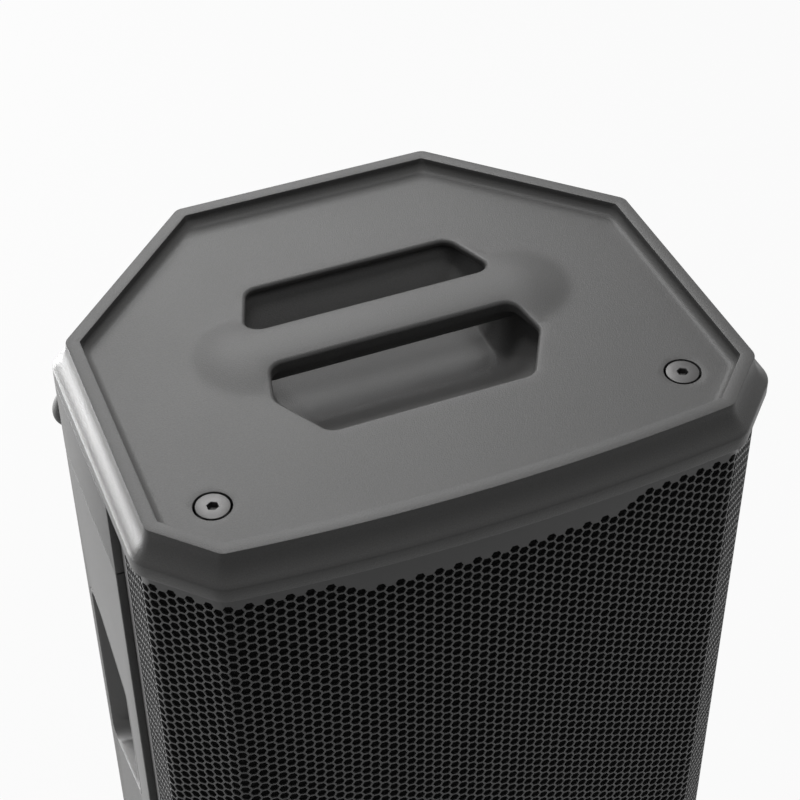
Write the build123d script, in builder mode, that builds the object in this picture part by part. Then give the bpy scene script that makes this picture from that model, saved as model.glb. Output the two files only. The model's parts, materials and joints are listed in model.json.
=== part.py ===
from build123d import *
import os
from math import asin, cos, hypot, sin, tau

# A portable two-way powered loudspeaker: moulded enclosure, wrapped steel grille, carry handle in the top cap.
# Millimetres, +Z up, front towards -Y, origin at the bottom centre.

os.makedirs("parts", exist_ok=True)

# Overall sizes
body_width = 397.2
body_depth = 332.0
body_height = 665.0
foot_height = 10.0

# Plan outline over the lips
flank_taper = 1.4
front_bow = 9.4
front_chamfer_x = 38.4
front_chamfer_y = 39.3
rear_chamfer_x = 107.3
rear_chamfer_y = 106.1
corner_radius = 18.0
least_radius = 2.0

# Top and bottom caps
rim_inset = 10.0
cove_height = 18.0
lip_height = 10.0
rim_band = 8.5
tray_depth = 8.7
tray_corner = 10.0
tray_fillet = 6.0
cap_wall = 4.0
cap_ring = 14.0
cap_floor = 8.0
cove_steps = 4

# Carry handle
bar_y = 14.2
bar_width = 29.5
bar_drop = 18.0
front_slot_length = 71.0
front_slot_half = 88.0
front_slot_end = 66.0
rear_slot_length = 44.0
rear_slot_half = 87.0
rear_slot_end = 70.0
slot_taper = 0.92
slot_shoulder = 0.45
slot_corner = 12.0
crown_half_length = 122.0
crown_half_width = 33.0
crown_height = 5.5
pocket_depth = 42.0
pocket_wall = 3.0
pocket_margin = 5.0
pocket_slope_front = 66.0
pocket_slope_side = 16.0
pocket_slope_rear = 20.0

# Suspension points
bolt_x = 146.5
bolt_y = -101.8
bolt_radius = 5.0
bolt_head_radius = 10.0
bolt_head_depth = 5.5
bolt_length = 40.0
bolt_hex = 6.0
sink_radius = 11.3
boss_radius = 16.0
boss_drop = 12.0
post_radius = 13.0

# Grille and foam
grille_inset = 5.0
grille_sheet = 1.2
grille_edge_y = -62.6
grille_gap = 2.0
foam_back_gap = 0.3

# Enclosure
shell_inset = 11.0
shell_wall = 6.0
shell_lid = 6.0
shell_skin_inset = 1.0
joint_y = -40.0
lid_drop = 57.0
baffle_front_y = -134.0
baffle_thickness = 15.0
front_window_half = 146.0

# Flank mouldings
panel_skin = 3.5
panel_edge = 4.0
panel_rear_y = 56.0
shoulder_drop = 84.0
seam = 0.6

# Woofer, a 12-inch class driver
woofer_radius = 150.0
woofer_gap = 8.0
flange_thickness = 5.0
flange_overhang = 12.0
coil_radius = 37.5
coil_gap = 1.2
winding_half = 0.7
former_sheet = 0.4
magnet_radius = 80.0
woofer_vent = 10.0
woofer_screw_count = 8
woofer_screw_inset = 5.0

# Horn and compression driver
horn_width = 270.0
horn_height = 190.0
horn_rim = 9.0
horn_depth = 100.0
horn_top_gap = 16.0
horn_wall = 4.0
throat_radius = 18.0
driver_radius = 45.0

# Ports
port_x = 129.0
port_z = 31.0
port_radius = 22.0
port_wall = 2.5
port_length = 88.0

# Flank handles; the outlines of a cup's mouth and floor are (y, z) corners
cup_depth = 42.0
cup_wall = 3.0
cup_flange = 8.0
cup_corner = 9.0
cup_mouth = [(-29.6, 332), (-29.6, 437), (20, 463), (46, 468), (46, 312)]
cup_floor = [(-22, 342), (-22, 428), (4, 442), (18, 444), (18, 330)]

# Pole socket, for a 35 mm pole
pole_bore_radius = 18.25
pole_bore_depth = 80.0
pole_wall = 4.0
pole_y = 5.0
pole_flange_radius = 36.0

# Amplifier plate
plate_width = 163.0
plate_height = 409.0
plate_thickness = 4.0
plate_recess = 15.0
plate_gap = 0.5
plate_lift = 52.5
ledge = 8.0
frame_wall = 6.0
frame_depth = 25.0
gasket_thickness = 1.0
row_mains = 34.0
row_sink = 135.0
row_outputs = 219.0
row_inputs = 257.0
row_gain = 302.0
row_display = 368.0
column = 40.0

# Bottom screws, bottom feet and monitor feet
base_screw_x = 120.0
base_screw_rows = (-60.0, 10.0, 80.0)
foot_radius = 18.0
foot_chamfer = 2.0
foot_spots = [(-135, -100), (135, -100), (-80, 115), (80, 115)]
dome_radius = 12.5
dome_height = 12.0
dome_along = 17.0
dome_drop = 68.0

# Clearances
fit = 0.3
running = 0.05
screw_radius = 2.0
screw_head_radius = 4.0
screw_head_height = 3.0

# Derived sizes
half_width = body_width / 2
front_y = -body_depth / 2
rear_y = body_depth / 2
corner_y = front_y + front_bow
front_x = half_width - front_chamfer_x
flank_front_y = corner_y + front_chamfer_y
flank_rear_x = half_width - flank_taper
flank_rear_y = rear_y - rear_chamfer_y
rear_x = flank_rear_x - rear_chamfer_x
cove_radius = (rim_inset**2 + cove_height**2) / (2 * rim_inset)
cove_angle = asin(cove_height / cove_radius)
tray_z = body_height - tray_depth
lip_top = body_height - cove_height
lip_bottom = lip_top - lip_height
base_lip_bottom = foot_height + cove_height
base_lip_top = base_lip_bottom + lip_height
shell_low = base_lip_top
shell_high = body_height - lid_drop
shell_floor = shell_low + shell_lid
shell_ceiling = shell_high - shell_lid
panel_front_y = grille_edge_y + grille_gap
shoulder_low = body_height - shoulder_drop
inner_inset = shell_inset + shell_wall
grille_low = base_lip_top + fit
grille_high = lip_bottom - fit
woofer_z = shell_floor + woofer_gap + woofer_radius
cutout_radius = woofer_radius - flange_overhang
baffle_back_y = baffle_front_y + baffle_thickness
horn_z = shell_ceiling - horn_top_gap - horn_height / 2 - horn_rim
bar_front = bar_y - bar_width / 2
bar_back = bar_y + bar_width / 2
pocket_floor = tray_z - pocket_depth
pocket_lean = pocket_slope_side * (bar_drop - cap_wall) / (pocket_depth - cap_wall)
bar_half = front_slot_half + pocket_margin - pocket_lean - fit
plate_y = rear_y - plate_recess - shell_skin_inset
plate_low = shell_low + plate_lift
plate_high = plate_low + plate_height
plate_back_y = plate_y - plate_thickness
ledge_y = plate_back_y - gasket_thickness
far = 2 * body_height


def plan(inset, radius=None):
    with BuildSketch() as outline:
        with BuildLine():
            ThreePointArc((-front_x, corner_y), (0, front_y), (front_x, corner_y))
            Polyline(
                (front_x, corner_y),
                (half_width, flank_front_y),
                (flank_rear_x, flank_rear_y),
                (rear_x, rear_y),
                (-rear_x, rear_y),
                (-flank_rear_x, flank_rear_y),
                (-half_width, flank_front_y),
                (-front_x, corner_y),
            )
        make_face()
        if inset > 0:
            offset(amount=-inset, kind=Kind.INTERSECTION, mode=Mode.REPLACE)
        fillet(outline.vertices(), radius or max(corner_radius - inset, least_radius))
    return outline.sketch


def slab(inset, low, high, radius=None):
    with BuildPart() as solid:
        with BuildSketch(Plane.XY.offset(low)):
            add(plan(inset, radius))
        extrude(amount=high - low)
    return solid.part


def block(x_range, y_range, z_range):
    with BuildPart() as solid:
        with Locations((sum(x_range) / 2, sum(y_range) / 2, sum(z_range) / 2)):
            Box(x_range[1] - x_range[0], y_range[1] - y_range[0], z_range[1] - z_range[0])
    return solid.part


def rod(x, z, radius, y_range):
    with BuildPart() as solid:
        with BuildSketch(Plane.XZ.offset(-y_range[0])):
            with Locations((x, z)):
                Circle(radius)
        extrude(amount=y_range[0] - y_range[1])
    return solid.part


def post(x, y, radius, z_range):
    with BuildPart() as solid:
        with BuildSketch(Plane.XY.offset(z_range[0])):
            with Locations((x, y)):
                Circle(radius)
        extrude(amount=z_range[1] - z_range[0])
    return solid.part


# A solid turned about a front-to-back axis through (x, z); the profile is (y, radius) points.
def turned(profile, x, z):
    with BuildPart() as solid:
        with BuildSketch(Plane.YZ.offset(x)):
            with BuildLine():
                Polyline([(y, z + radius) for y, radius in profile], close=True)
            make_face()
        revolve(axis=Axis((x, 0, z), (0, 1, 0)))
    return solid.part


def polygon_slab(points, radius, low, high):
    with BuildPart() as solid:
        with BuildSketch(Plane.XY.offset(low)) as shape:
            with BuildLine():
                Polyline(points, close=True)
            make_face()
            fillet(shape.vertices(), radius)
        extrude(amount=high - low)
    return solid.part


# A cap ring between the lip and the rim: the cove is an arc that starts upright at the rim.
def cove_ring(rim_z, direction):
    with BuildPart() as solid:
        for step in range(cove_steps + 1):
            angle = cove_angle * step / cove_steps
            height = rim_z - direction * cove_radius * sin(angle)
            inset = round(rim_inset - cove_radius * (1 - cos(angle)), 4)
            with BuildSketch(Plane.XY.offset(height)):
                add(plan(max(inset, 0)))
        loft(ruled=True)
    return solid.part


# Top cap with tray, slots, crowned bar and suspension bosses
front_slot = [
    (-front_slot_half * slot_taper, bar_front),
    (-front_slot_half, bar_front - front_slot_length * slot_shoulder),
    (-front_slot_end, bar_front - front_slot_length),
    (front_slot_end, bar_front - front_slot_length),
    (front_slot_half, bar_front - front_slot_length * slot_shoulder),
    (front_slot_half * slot_taper, bar_front),
]
rear_slot = [
    (-rear_slot_half, bar_back),
    (-rear_slot_end, bar_back + rear_slot_length),
    (rear_slot_end, bar_back + rear_slot_length),
    (rear_slot_half, bar_back),
]
crown_radius_y = (crown_half_width**2 + crown_height**2) / (2 * crown_height)

with BuildPart() as crown:
    with BuildSketch(Plane.YZ.offset(-crown_half_length)):
        with Locations((bar_y, tray_z + crown_height - crown_radius_y)):
            Circle(crown_radius_y)
    extrude(amount=2 * crown_half_length)
    with BuildSketch(Plane.XZ.offset(-bar_y - crown_half_width)):
        with BuildLine():
            Line((-crown_half_length, tray_z - cap_wall), (crown_half_length, tray_z - cap_wall))
            Line((crown_half_length, tray_z - cap_wall), (crown_half_length, tray_z))
            ThreePointArc((crown_half_length, tray_z), (0, tray_z + crown_height), (-crown_half_length, tray_z))
            Line((-crown_half_length, tray_z), (-crown_half_length, tray_z - cap_wall))
        make_face()
    extrude(amount=2 * crown_half_width, mode=Mode.INTERSECT)

with BuildPart() as top_cap:
    add(slab(0, lip_bottom, lip_top))
    add(cove_ring(body_height, 1))
    add(slab(rim_inset + rim_band, tray_z, body_height + 1, tray_corner), mode=Mode.SUBTRACT)
    fillet(top_cap.edges().filter_by(lambda edge: abs(edge.center().Z - tray_z) < fit), tray_fillet)
    add(slab(cap_ring, lip_bottom, tray_z - cap_wall, tray_corner), mode=Mode.SUBTRACT)
    add(crown.part)
    add(block((-bar_half, bar_half), (bar_front, bar_back), (tray_z - bar_drop, tray_z)))
    add(polygon_slab(front_slot, slot_corner, tray_z - bar_drop - 1, body_height), mode=Mode.SUBTRACT)
    add(polygon_slab(rear_slot, slot_corner, tray_z - bar_drop - 1, body_height), mode=Mode.SUBTRACT)
    for side in (-1, 1):
        add(post(side * bolt_x, bolt_y, boss_radius, (tray_z - boss_drop, tray_z)))
    with Locations((-bolt_x, bolt_y, tray_z), (bolt_x, bolt_y, tray_z)):
        CounterSinkHole(bolt_radius + fit, sink_radius, depth=boss_drop)
top_cap.part.label = "top_cap"
export_step(top_cap.part, "parts/top_cap.step")


# Handle pocket: a tub under the slots, with a flange against the tray's underside
def tub(grow, top, floor):
    half_x = front_slot_half + pocket_margin + grow
    near = bar_front - front_slot_length - pocket_margin - grow
    away = bar_back + rear_slot_length + pocket_margin + grow
    low_near = near + pocket_slope_front
    low_away = away - pocket_slope_rear
    with BuildPart() as solid:
        with BuildSketch(Plane.XY.offset(top)):
            with Locations((0, (near + away) / 2)):
                RectangleRounded(2 * half_x, away - near, slot_corner)
        with BuildSketch(Plane.XY.offset(floor)):
            with Locations((0, (low_near + low_away) / 2)):
                RectangleRounded(2 * (half_x - pocket_slope_side), low_away - low_near, slot_corner)
        loft(ruled=True)
    return solid.part


flange_z = tray_z - cap_wall - pocket_wall
flange_reach = 2 * pocket_margin + pocket_wall
with BuildPart() as handle_pocket:
    add(tub(pocket_wall, tray_z - cap_wall, pocket_floor - pocket_wall))
    with BuildSketch(Plane.XY.offset(flange_z)):
        with Locations((0, bar_y + (rear_slot_length - front_slot_length) / 2)):
            RectangleRounded(
                2 * (front_slot_half + flange_reach),
                front_slot_length + bar_width + rear_slot_length + 2 * flange_reach,
                slot_corner,
            )
    extrude(amount=pocket_wall)
    add(tub(0, tray_z - cap_wall, pocket_floor), mode=Mode.SUBTRACT)
handle_pocket.part.label = "handle_pocket"
export_step(handle_pocket.part, "parts/handle_pocket.step")

# Suspension bolts and the posts they screw into
with BuildPart() as top_bolts:
    for side in (-1, 1):
        with BuildSketch(Plane.XZ.offset(-bolt_y)) as bolt_profile:
            with BuildLine():
                Polyline(
                    (side * bolt_x, tray_z),
                    (side * bolt_x + bolt_head_radius, tray_z),
                    (side * bolt_x + bolt_radius, tray_z - bolt_head_depth),
                    (side * bolt_x + bolt_radius, tray_z - bolt_length),
                    (side * bolt_x, tray_z - bolt_length),
                    close=True,
                )
            make_face()
        revolve(axis=Axis((side * bolt_x, bolt_y, 0), (0, 0, 1)))
    with BuildSketch(Plane.XY.offset(tray_z)):
        with Locations((-bolt_x, bolt_y), (bolt_x, bolt_y)):
            RegularPolygon(bolt_hex / 2, 6, major_radius=False)
    extrude(amount=-bolt_head_depth + 1, mode=Mode.SUBTRACT)
top_bolts.part.label = "top_bolts"
export_step(top_bolts.part, "parts/top_bolts.step")

with BuildPart() as suspension_posts:
    for side in (-1, 1):
        add(post(side * bolt_x, bolt_y, post_radius, (shell_high, tray_z - boss_drop)))
        add(
            post(side * bolt_x, bolt_y, bolt_radius + running, (tray_z - bolt_length - 4, tray_z)),
            mode=Mode.SUBTRACT,
        )
suspension_posts.part.label = "suspension_posts"
export_step(suspension_posts.part, "parts/suspension_posts.step")

# Bottom cap, its feet, screws and the pole socket
base_screw_spots = [(side * base_screw_x, y) for side in (-1, 1) for y in base_screw_rows]
with BuildPart() as bottom_cap:
    add(slab(0, base_lip_bottom, base_lip_top))
    add(cove_ring(foot_height, -1))
    add(slab(cap_ring, foot_height + cap_floor, base_lip_top, tray_corner), mode=Mode.SUBTRACT)
    for x, y in base_screw_spots:
        add(post(x, y, boss_radius / 2, (foot_height + cap_floor, base_lip_top)))
        add(post(x, y, screw_radius + fit, (foot_height, base_lip_top)), mode=Mode.SUBTRACT)
        add(post(x, y, screw_head_radius + fit, (foot_height, foot_height + cap_floor)), mode=Mode.SUBTRACT)
    add(post(0, pole_y, pole_bore_radius + pole_wall + fit, (foot_height, base_lip_top)), mode=Mode.SUBTRACT)
    add(post(0, pole_y, pole_flange_radius + fit, (foot_height, foot_height + pole_wall)), mode=Mode.SUBTRACT)
bottom_cap.part.label = "bottom_cap"
export_step(bottom_cap.part, "parts/bottom_cap.step")

with BuildPart() as bottom_screws:
    for x, y in base_screw_spots:
        head_z = foot_height + cap_floor - screw_head_height
        add(post(x, y, screw_head_radius, (head_z, foot_height + cap_floor)))
        add(post(x, y, screw_radius, (foot_height + cap_floor, shell_low + shell_lid)))
bottom_screws.part.label = "bottom_screws"
export_step(bottom_screws.part, "parts/bottom_screws.step")

with BuildPart() as pole_socket:
    pole_top = foot_height + pole_bore_depth
    add(post(0, pole_y, pole_flange_radius, (foot_height, foot_height + pole_wall)))
    add(post(0, pole_y, pole_bore_radius + pole_wall, (foot_height, pole_top + pole_wall)))
    add(post(0, pole_y, pole_bore_radius, (foot_height, pole_top)), mode=Mode.SUBTRACT)
pole_socket.part.label = "pole_socket"
export_step(pole_socket.part, "parts/pole_socket.step")

with BuildPart() as bottom_feet:
    with BuildSketch():
        with Locations(*foot_spots):
            Circle(foot_radius)
    extrude(amount=foot_height)
    chamfer(bottom_feet.edges().filter_by(lambda edge: edge.center().Z < fit), foot_chamfer)
bottom_feet.part.label = "bottom_feet"
export_step(bottom_feet.part, "parts/bottom_feet.step")

# Grille: one bent sheet round the front, both chamfers and the front of each flank
with BuildPart() as grille:
    add(slab(grille_inset, grille_low, grille_high))
    add(slab(grille_inset + grille_sheet, grille_low - 1, grille_high + 1), mode=Mode.SUBTRACT)
    add(block((-far, far), (-far, grille_edge_y), (0, far)), mode=Mode.INTERSECT)
grille.part.label = "grille"
export_step(grille.part, "parts/grille.step")

with BuildPart() as grille_foam:
    add(slab(grille_inset + grille_sheet + fit, grille_low + 2, grille_high - 2))
    add(slab(shell_inset - foam_back_gap, 0, body_height), mode=Mode.SUBTRACT)
    add(block((-far, far), (-far, grille_edge_y - 2), (0, far)), mode=Mode.INTERSECT)
grille_foam.part.label = "grille_foam"
export_step(grille_foam.part, "parts/grille_foam.step")


# Flank handle: a cup whose rear wall slopes out to the flank's surface
def cup(side, grow, depth):
    with BuildPart() as solid:
        with BuildSketch(Plane.YZ.offset(side * (half_width + 1))) as outer:
            with BuildLine():
                Polyline(cup_mouth, close=True)
            make_face()
            fillet(outer.vertices(), cup_corner)
            offset(amount=grow, mode=Mode.REPLACE)
        with BuildSketch(Plane.YZ.offset(side * (half_width - depth))) as inner:
            with BuildLine():
                Polyline(cup_floor, close=True)
            make_face()
            fillet(inner.vertices(), cup_corner)
            offset(amount=grow, mode=Mode.REPLACE)
        loft(ruled=True)
    return solid.part


def flank_box(side, low_inset, high_inset, y_range, z_range):
    edges = sorted((side * (half_width - low_inset), side * (half_width - high_inset)))
    return block(edges, y_range, z_range)


# Front shell: the enclosure's front half, open where the baffle looks out
with BuildPart() as front_shell:
    add(slab(shell_inset, shell_low, shell_high))
    add(slab(inner_inset, shell_floor, shell_ceiling), mode=Mode.SUBTRACT)
    add(block((-far, far), (-far, joint_y), (0, far)), mode=Mode.INTERSECT)
    add(
        block(
            (-front_window_half, front_window_half),
            (-far, baffle_front_y),
            (shell_low + 2 * shell_lid, shell_high - 2 * shell_lid),
        ),
        mode=Mode.SUBTRACT,
    )
    for x, y in base_screw_spots:
        add(post(x, y, screw_radius + running, (shell_low, shell_floor)), mode=Mode.SUBTRACT)
front_shell.part.label = "front_shell"
export_step(front_shell.part, "parts/front_shell.step")

# Rear shell: the back and the rear chamfers; its flanks lie deeper, under the side panels
frame_half = plate_width / 2 + plate_gap + frame_wall
window_half = plate_width / 2 - ledge
with BuildPart() as rear_shell:
    add(slab(shell_skin_inset, shell_low, shoulder_low))
    add(slab(shell_inset, shoulder_low, shell_high))
    add(slab(inner_inset, shell_floor, shell_ceiling), mode=Mode.SUBTRACT)
    with BuildPart(mode=Mode.PRIVATE) as rear_room:
        add(slab(shell_skin_inset + shell_wall, shell_floor, shoulder_low - shell_lid))
        add(block((-far, far), (panel_rear_y + shell_wall, far), (0, far)), mode=Mode.INTERSECT)
    add(rear_room.part, mode=Mode.SUBTRACT)
    for side in (-1, 1):
        add(
            flank_box(side, shell_inset, -1, (joint_y - 1, panel_rear_y), (0, far)),
            mode=Mode.SUBTRACT,
        )
    add(
        block(
            (-frame_half, frame_half),
            (rear_y - frame_depth, rear_y - shell_skin_inset - 1),
            (plate_low - plate_gap - frame_wall, plate_high + plate_gap + frame_wall),
        )
    )
    add(
        block(
            (-plate_width / 2 - plate_gap, plate_width / 2 + plate_gap),
            (ledge_y, rear_y),
            (plate_low - plate_gap, plate_high + plate_gap),
        ),
        mode=Mode.SUBTRACT,
    )
    add(
        block((-window_half, window_half), (0, rear_y), (plate_low + ledge, plate_high - ledge)),
        mode=Mode.SUBTRACT,
    )
    add(block((-far, far), (joint_y, far), (0, far)), mode=Mode.INTERSECT)
    add(post(0, pole_y, pole_bore_radius + pole_wall + fit, (0, shell_floor)), mode=Mode.SUBTRACT)
    for side in (-1, 1):
        add(cup(side, cup_wall + fit, cup_depth + cup_wall), mode=Mode.SUBTRACT)
    for x, y in base_screw_spots:
        add(post(x, y, screw_radius + running, (shell_low, shell_floor)), mode=Mode.SUBTRACT)

# Side panels, left and right, with the handle's opening
for name, side in (("left", -1), ("right", 1)):
    with BuildPart() as side_panel:
        add(slab(0, shell_low + fit, shoulder_low - seam))
        add(flank_box(side, shell_inset, -1, (panel_front_y, panel_rear_y - fit), (0, far)), mode=Mode.INTERSECT)
        with BuildPart(mode=Mode.PRIVATE) as panel_room:
            add(slab(panel_skin, shell_low + panel_edge, shoulder_low - panel_edge))
            add(
                block((-far, far), (panel_front_y + panel_edge, panel_rear_y - panel_edge), (0, far)),
                mode=Mode.INTERSECT,
            )
        add(panel_room.part, mode=Mode.SUBTRACT)
        add(cup(side, cup_wall + fit, cup_depth + cup_wall), mode=Mode.SUBTRACT)
    side_panel.part.label = f"side_panel_{name}"
    export_step(side_panel.part, f"parts/side_panel_{name}.step")

    with BuildPart() as handle_cup:
        add(cup(side, cup_wall, cup_depth + cup_wall))
        with BuildPart(mode=Mode.PRIVATE) as cup_rim:
            add(cup(side, cup_wall + cup_flange, cup_depth + cup_wall))
            add(
                flank_box(side, shell_inset, shell_inset - cup_wall, (-far, panel_rear_y - panel_edge), (0, far)),
                mode=Mode.INTERSECT,
            )
        add(cup_rim.part)
        add(cup(side, 0, cup_depth), mode=Mode.SUBTRACT)
        add(slab(0, 0, far), mode=Mode.INTERSECT)
    handle_cup.part.label = f"handle_cup_{name}"
    export_step(handle_cup.part, f"parts/handle_cup_{name}.step")

# Shoulder band: a horseshoe between the side panels and the cap
with BuildPart() as shoulder_band:
    add(slab(0, shoulder_low, lip_bottom - fit))
    add(slab(panel_skin, shoulder_low + panel_edge, lip_bottom), mode=Mode.SUBTRACT)
    add(slab(shell_inset, shoulder_low, lip_bottom), mode=Mode.SUBTRACT)
    add(block((-far, far), (panel_front_y, far), (0, far)), mode=Mode.INTERSECT)
    for side in (-1, 1):
        add(
            flank_box(
                side,
                shell_inset,
                panel_skin / 2,
                (panel_front_y, panel_front_y + panel_edge),
                (shoulder_low, lip_bottom - fit),
            )
        )
shoulder_band.part.label = "shoulder_band"
export_step(shoulder_band.part, "parts/shoulder_band.step")

# Monitor feet: rubber domes on both rear chamfers, near the flank
chamfer_length = hypot(rear_chamfer_x, rear_chamfer_y)
dome_normal = (rear_chamfer_y / chamfer_length, rear_chamfer_x / chamfer_length)
with BuildPart() as monitor_feet:
    for side in (-1, 1):
        for z, lift in ((body_height - dome_drop, 0), (dome_drop + foot_height, shell_skin_inset)):
            x = flank_rear_x - dome_along * rear_chamfer_x / chamfer_length - lift * dome_normal[0]
            y = flank_rear_y + dome_along * rear_chamfer_y / chamfer_length - lift * dome_normal[1]
            seat = Plane(
                origin=(side * x, y, z),
                x_dir=(0, 0, 1),
                z_dir=(side * dome_normal[0], dome_normal[1], 0),
            )
            with BuildSketch(seat):
                Circle(dome_radius)
            extrude(amount=dome_height)
    tips = monitor_feet.edges().filter_by(GeomType.CIRCLE).filter_by(
        lambda edge: abs(edge.center().X) * dome_normal[0] + edge.center().Y * dome_normal[1]
        > flank_rear_x * dome_normal[0] + flank_rear_y * dome_normal[1] + dome_height / 2
    )
    fillet(tips, dome_height * 0.75)
monitor_feet.part.label = "monitor_feet"
export_step(monitor_feet.part, "parts/monitor_feet.step")

# Baffle with cut-outs for the woofer, the horn and the ports
port_spots = [
    (side * port_x, z)
    for side in (-1, 1)
    for z in (shell_floor + port_z, 2 * woofer_z - shell_floor - port_z + woofer_gap)
]
horn_half_x = horn_width / 2
horn_half_z = horn_height / 2
with BuildPart() as baffle:
    add(slab(inner_inset + fit, shell_floor + fit, shell_ceiling - fit))
    add(block((-far, far), (baffle_front_y, baffle_back_y), (0, far)), mode=Mode.INTERSECT)
    add(rod(0, woofer_z, cutout_radius, (front_y, 0)), mode=Mode.SUBTRACT)
    for x, z in port_spots:
        add(rod(x, z, port_radius + port_wall + fit, (front_y, 0)), mode=Mode.SUBTRACT)
    add(
        block(
            (-horn_half_x, horn_half_x),
            (front_y, 0),
            (horn_z - horn_half_z, horn_z + horn_half_z),
        ),
        mode=Mode.SUBTRACT,
    )


# Woofer: frame, moving cone, dust cap and coil, and the motor behind
def from_baffle(profile):
    return [(baffle_front_y + y, radius) for y, radius in profile]


coil_front = 36.0
winding_front = 62.0
winding_back = 78.0
coil_back = 80.0
spider_front = 52.0
spider_sheet = 0.8
frame_wall_thickness = 3.5
frame_back = 66.0
plate_back = frame_back + 8.0
magnet_back = plate_back + 18.0
yoke_back = magnet_back + 10.0
frame_neck = 86.5
surround_seat = cutout_radius - 7
surround_edge = cutout_radius + 2
cone_edge = surround_seat - 6
former_radius = coil_radius - fit
gap_radius = coil_radius + winding_half + coil_gap
pole_radius = coil_radius - winding_half - coil_gap
frame_outer = frame_neck + frame_wall_thickness
with BuildPart() as woofer_frame:
    profile = [
        (-flange_thickness, woofer_radius),
        (0, woofer_radius),
        (0, cutout_radius - 0.5),
        (6, cutout_radius - 2),
        (50, frame_outer),
        (frame_back, frame_outer),
        (frame_back, gap_radius + 10),
        (frame_back - 4, gap_radius + 10),
        (frame_back - 4, frame_neck),
        (49, frame_neck),
        (3, surround_seat),
        (-2, surround_seat),
        (-2, surround_edge),
        (-flange_thickness, surround_edge),
    ]
    add(turned(from_baffle(profile), 0, woofer_z))
    for number in range(6):
        window = block(
            (-26, 26),
            (baffle_front_y + 12, baffle_front_y + 45),
            (woofer_z + frame_neck / 2, woofer_z + cutout_radius),
        )
        add(window.rotate(Axis((0, 0, woofer_z), (0, 1, 0)), 60 * number), mode=Mode.SUBTRACT)
woofer_screw_ring = woofer_radius - woofer_screw_inset
woofer_holes = [
    (woofer_screw_ring * sin(turn), woofer_z + woofer_screw_ring * cos(turn))
    for turn in [tau * (number + 0.5) / woofer_screw_count for number in range(woofer_screw_count)]
]
with BuildPart() as woofer_screws:
    for x, z in woofer_holes:
        head_y = baffle_front_y - flange_thickness
        add(rod(x, z, screw_head_radius, (head_y - screw_head_height, head_y)))
        add(rod(x, z, screw_radius, (head_y, baffle_back_y - 3)))
        for part in (woofer_frame, baffle):
            hole = rod(x, z, screw_radius + running, (front_y, 0))
            part.part = part.part - hole
woofer_screws.part.label = "woofer_screws"
export_step(woofer_screws.part, "parts/woofer_screws.step")
woofer_frame.part.label = "woofer_frame"
export_step(woofer_frame.part, "parts/woofer_frame.step")
baffle.part.label = "baffle"
export_step(baffle.part, "parts/baffle.step")

with BuildPart() as woofer_surround:
    profile = [
        (-1.1, cone_edge - 3),
        (-1.1, cone_edge + 1),
        (-6, cone_edge + 3),
        (-8.5, cone_edge + 6),
        (-6, surround_edge - 4),
        (-2.8, surround_edge - 2),
        (-2.8, surround_edge - fit),
        (-2, surround_edge - fit),
        (-2, surround_edge - 2.6),
        (-5.2, surround_edge - 4.8),
        (-7.6, cone_edge + 6),
        (-5.2, cone_edge + 3.6),
        (-0.3, cone_edge + 1.6),
        (-0.3, cone_edge - 3),
    ]
    add(turned(from_baffle(profile), 0, woofer_z))
woofer_surround.part.label = "woofer_surround"
export_step(woofer_surround.part, "parts/woofer_surround.step")

cone_throat = former_radius + fit
cone_depth = coil_front + 2
with BuildPart() as woofer_cone:
    profile = [
        (0, cone_edge),
        (1.5, cone_edge),
        (cone_depth + 1.5, cone_throat),
        (cone_depth, cone_throat),
    ]
    add(turned(from_baffle(profile), 0, woofer_z))
woofer_cone.part.label = "woofer_cone"
export_step(woofer_cone.part, "parts/woofer_cone.step")

with BuildPart() as dust_cap:
    profile = [
        (20, 0),
        (21.8, 16),
        (26, 31),
        (35.2, 43),
        (35.5, 42.2),
        (27, 30.5),
        (22.8, 15.5),
        (21, 0),
    ]
    add(turned(from_baffle(profile), 0, woofer_z))
dust_cap.part.label = "dust_cap"
export_step(dust_cap.part, "parts/dust_cap.step")

with BuildPart() as voice_coil:
    profile = [
        (coil_front, former_radius - former_sheet),
        (coil_front, former_radius),
        (winding_front, former_radius),
        (winding_front, coil_radius + winding_half),
        (winding_back, coil_radius + winding_half),
        (winding_back, former_radius),
        (coil_back, former_radius),
        (coil_back, former_radius - former_sheet),
    ]
    add(turned(from_baffle(profile), 0, woofer_z))
voice_coil.part.label = "voice_coil"
export_step(voice_coil.part, "parts/voice_coil.step")

with BuildPart() as woofer_spider:
    profile = [
        (spider_front, former_radius + fit),
        (spider_front + spider_sheet, former_radius + fit),
        (spider_front + spider_sheet, frame_neck - fit),
        (spider_front, frame_neck - fit),
    ]
    add(turned(from_baffle(profile), 0, woofer_z))
woofer_spider.part.label = "woofer_spider"
export_step(woofer_spider.part, "parts/woofer_spider.step")

with BuildPart() as woofer_top_plate:
    profile = [
        (frame_back, gap_radius),
        (frame_back, magnet_radius - 2),
        (plate_back, magnet_radius - 2),
        (plate_back, gap_radius),
    ]
    add(turned(from_baffle(profile), 0, woofer_z))
woofer_top_plate.part.label = "woofer_top_plate"
export_step(woofer_top_plate.part, "parts/woofer_top_plate.step")

with BuildPart() as woofer_magnet:
    profile = [
        (plate_back, gap_radius + 7),
        (plate_back, magnet_radius),
        (magnet_back, magnet_radius),
        (magnet_back, gap_radius + 7),
    ]
    add(turned(from_baffle(profile), 0, woofer_z))
woofer_magnet.part.label = "woofer_magnet"
export_step(woofer_magnet.part, "parts/woofer_magnet.step")

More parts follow.
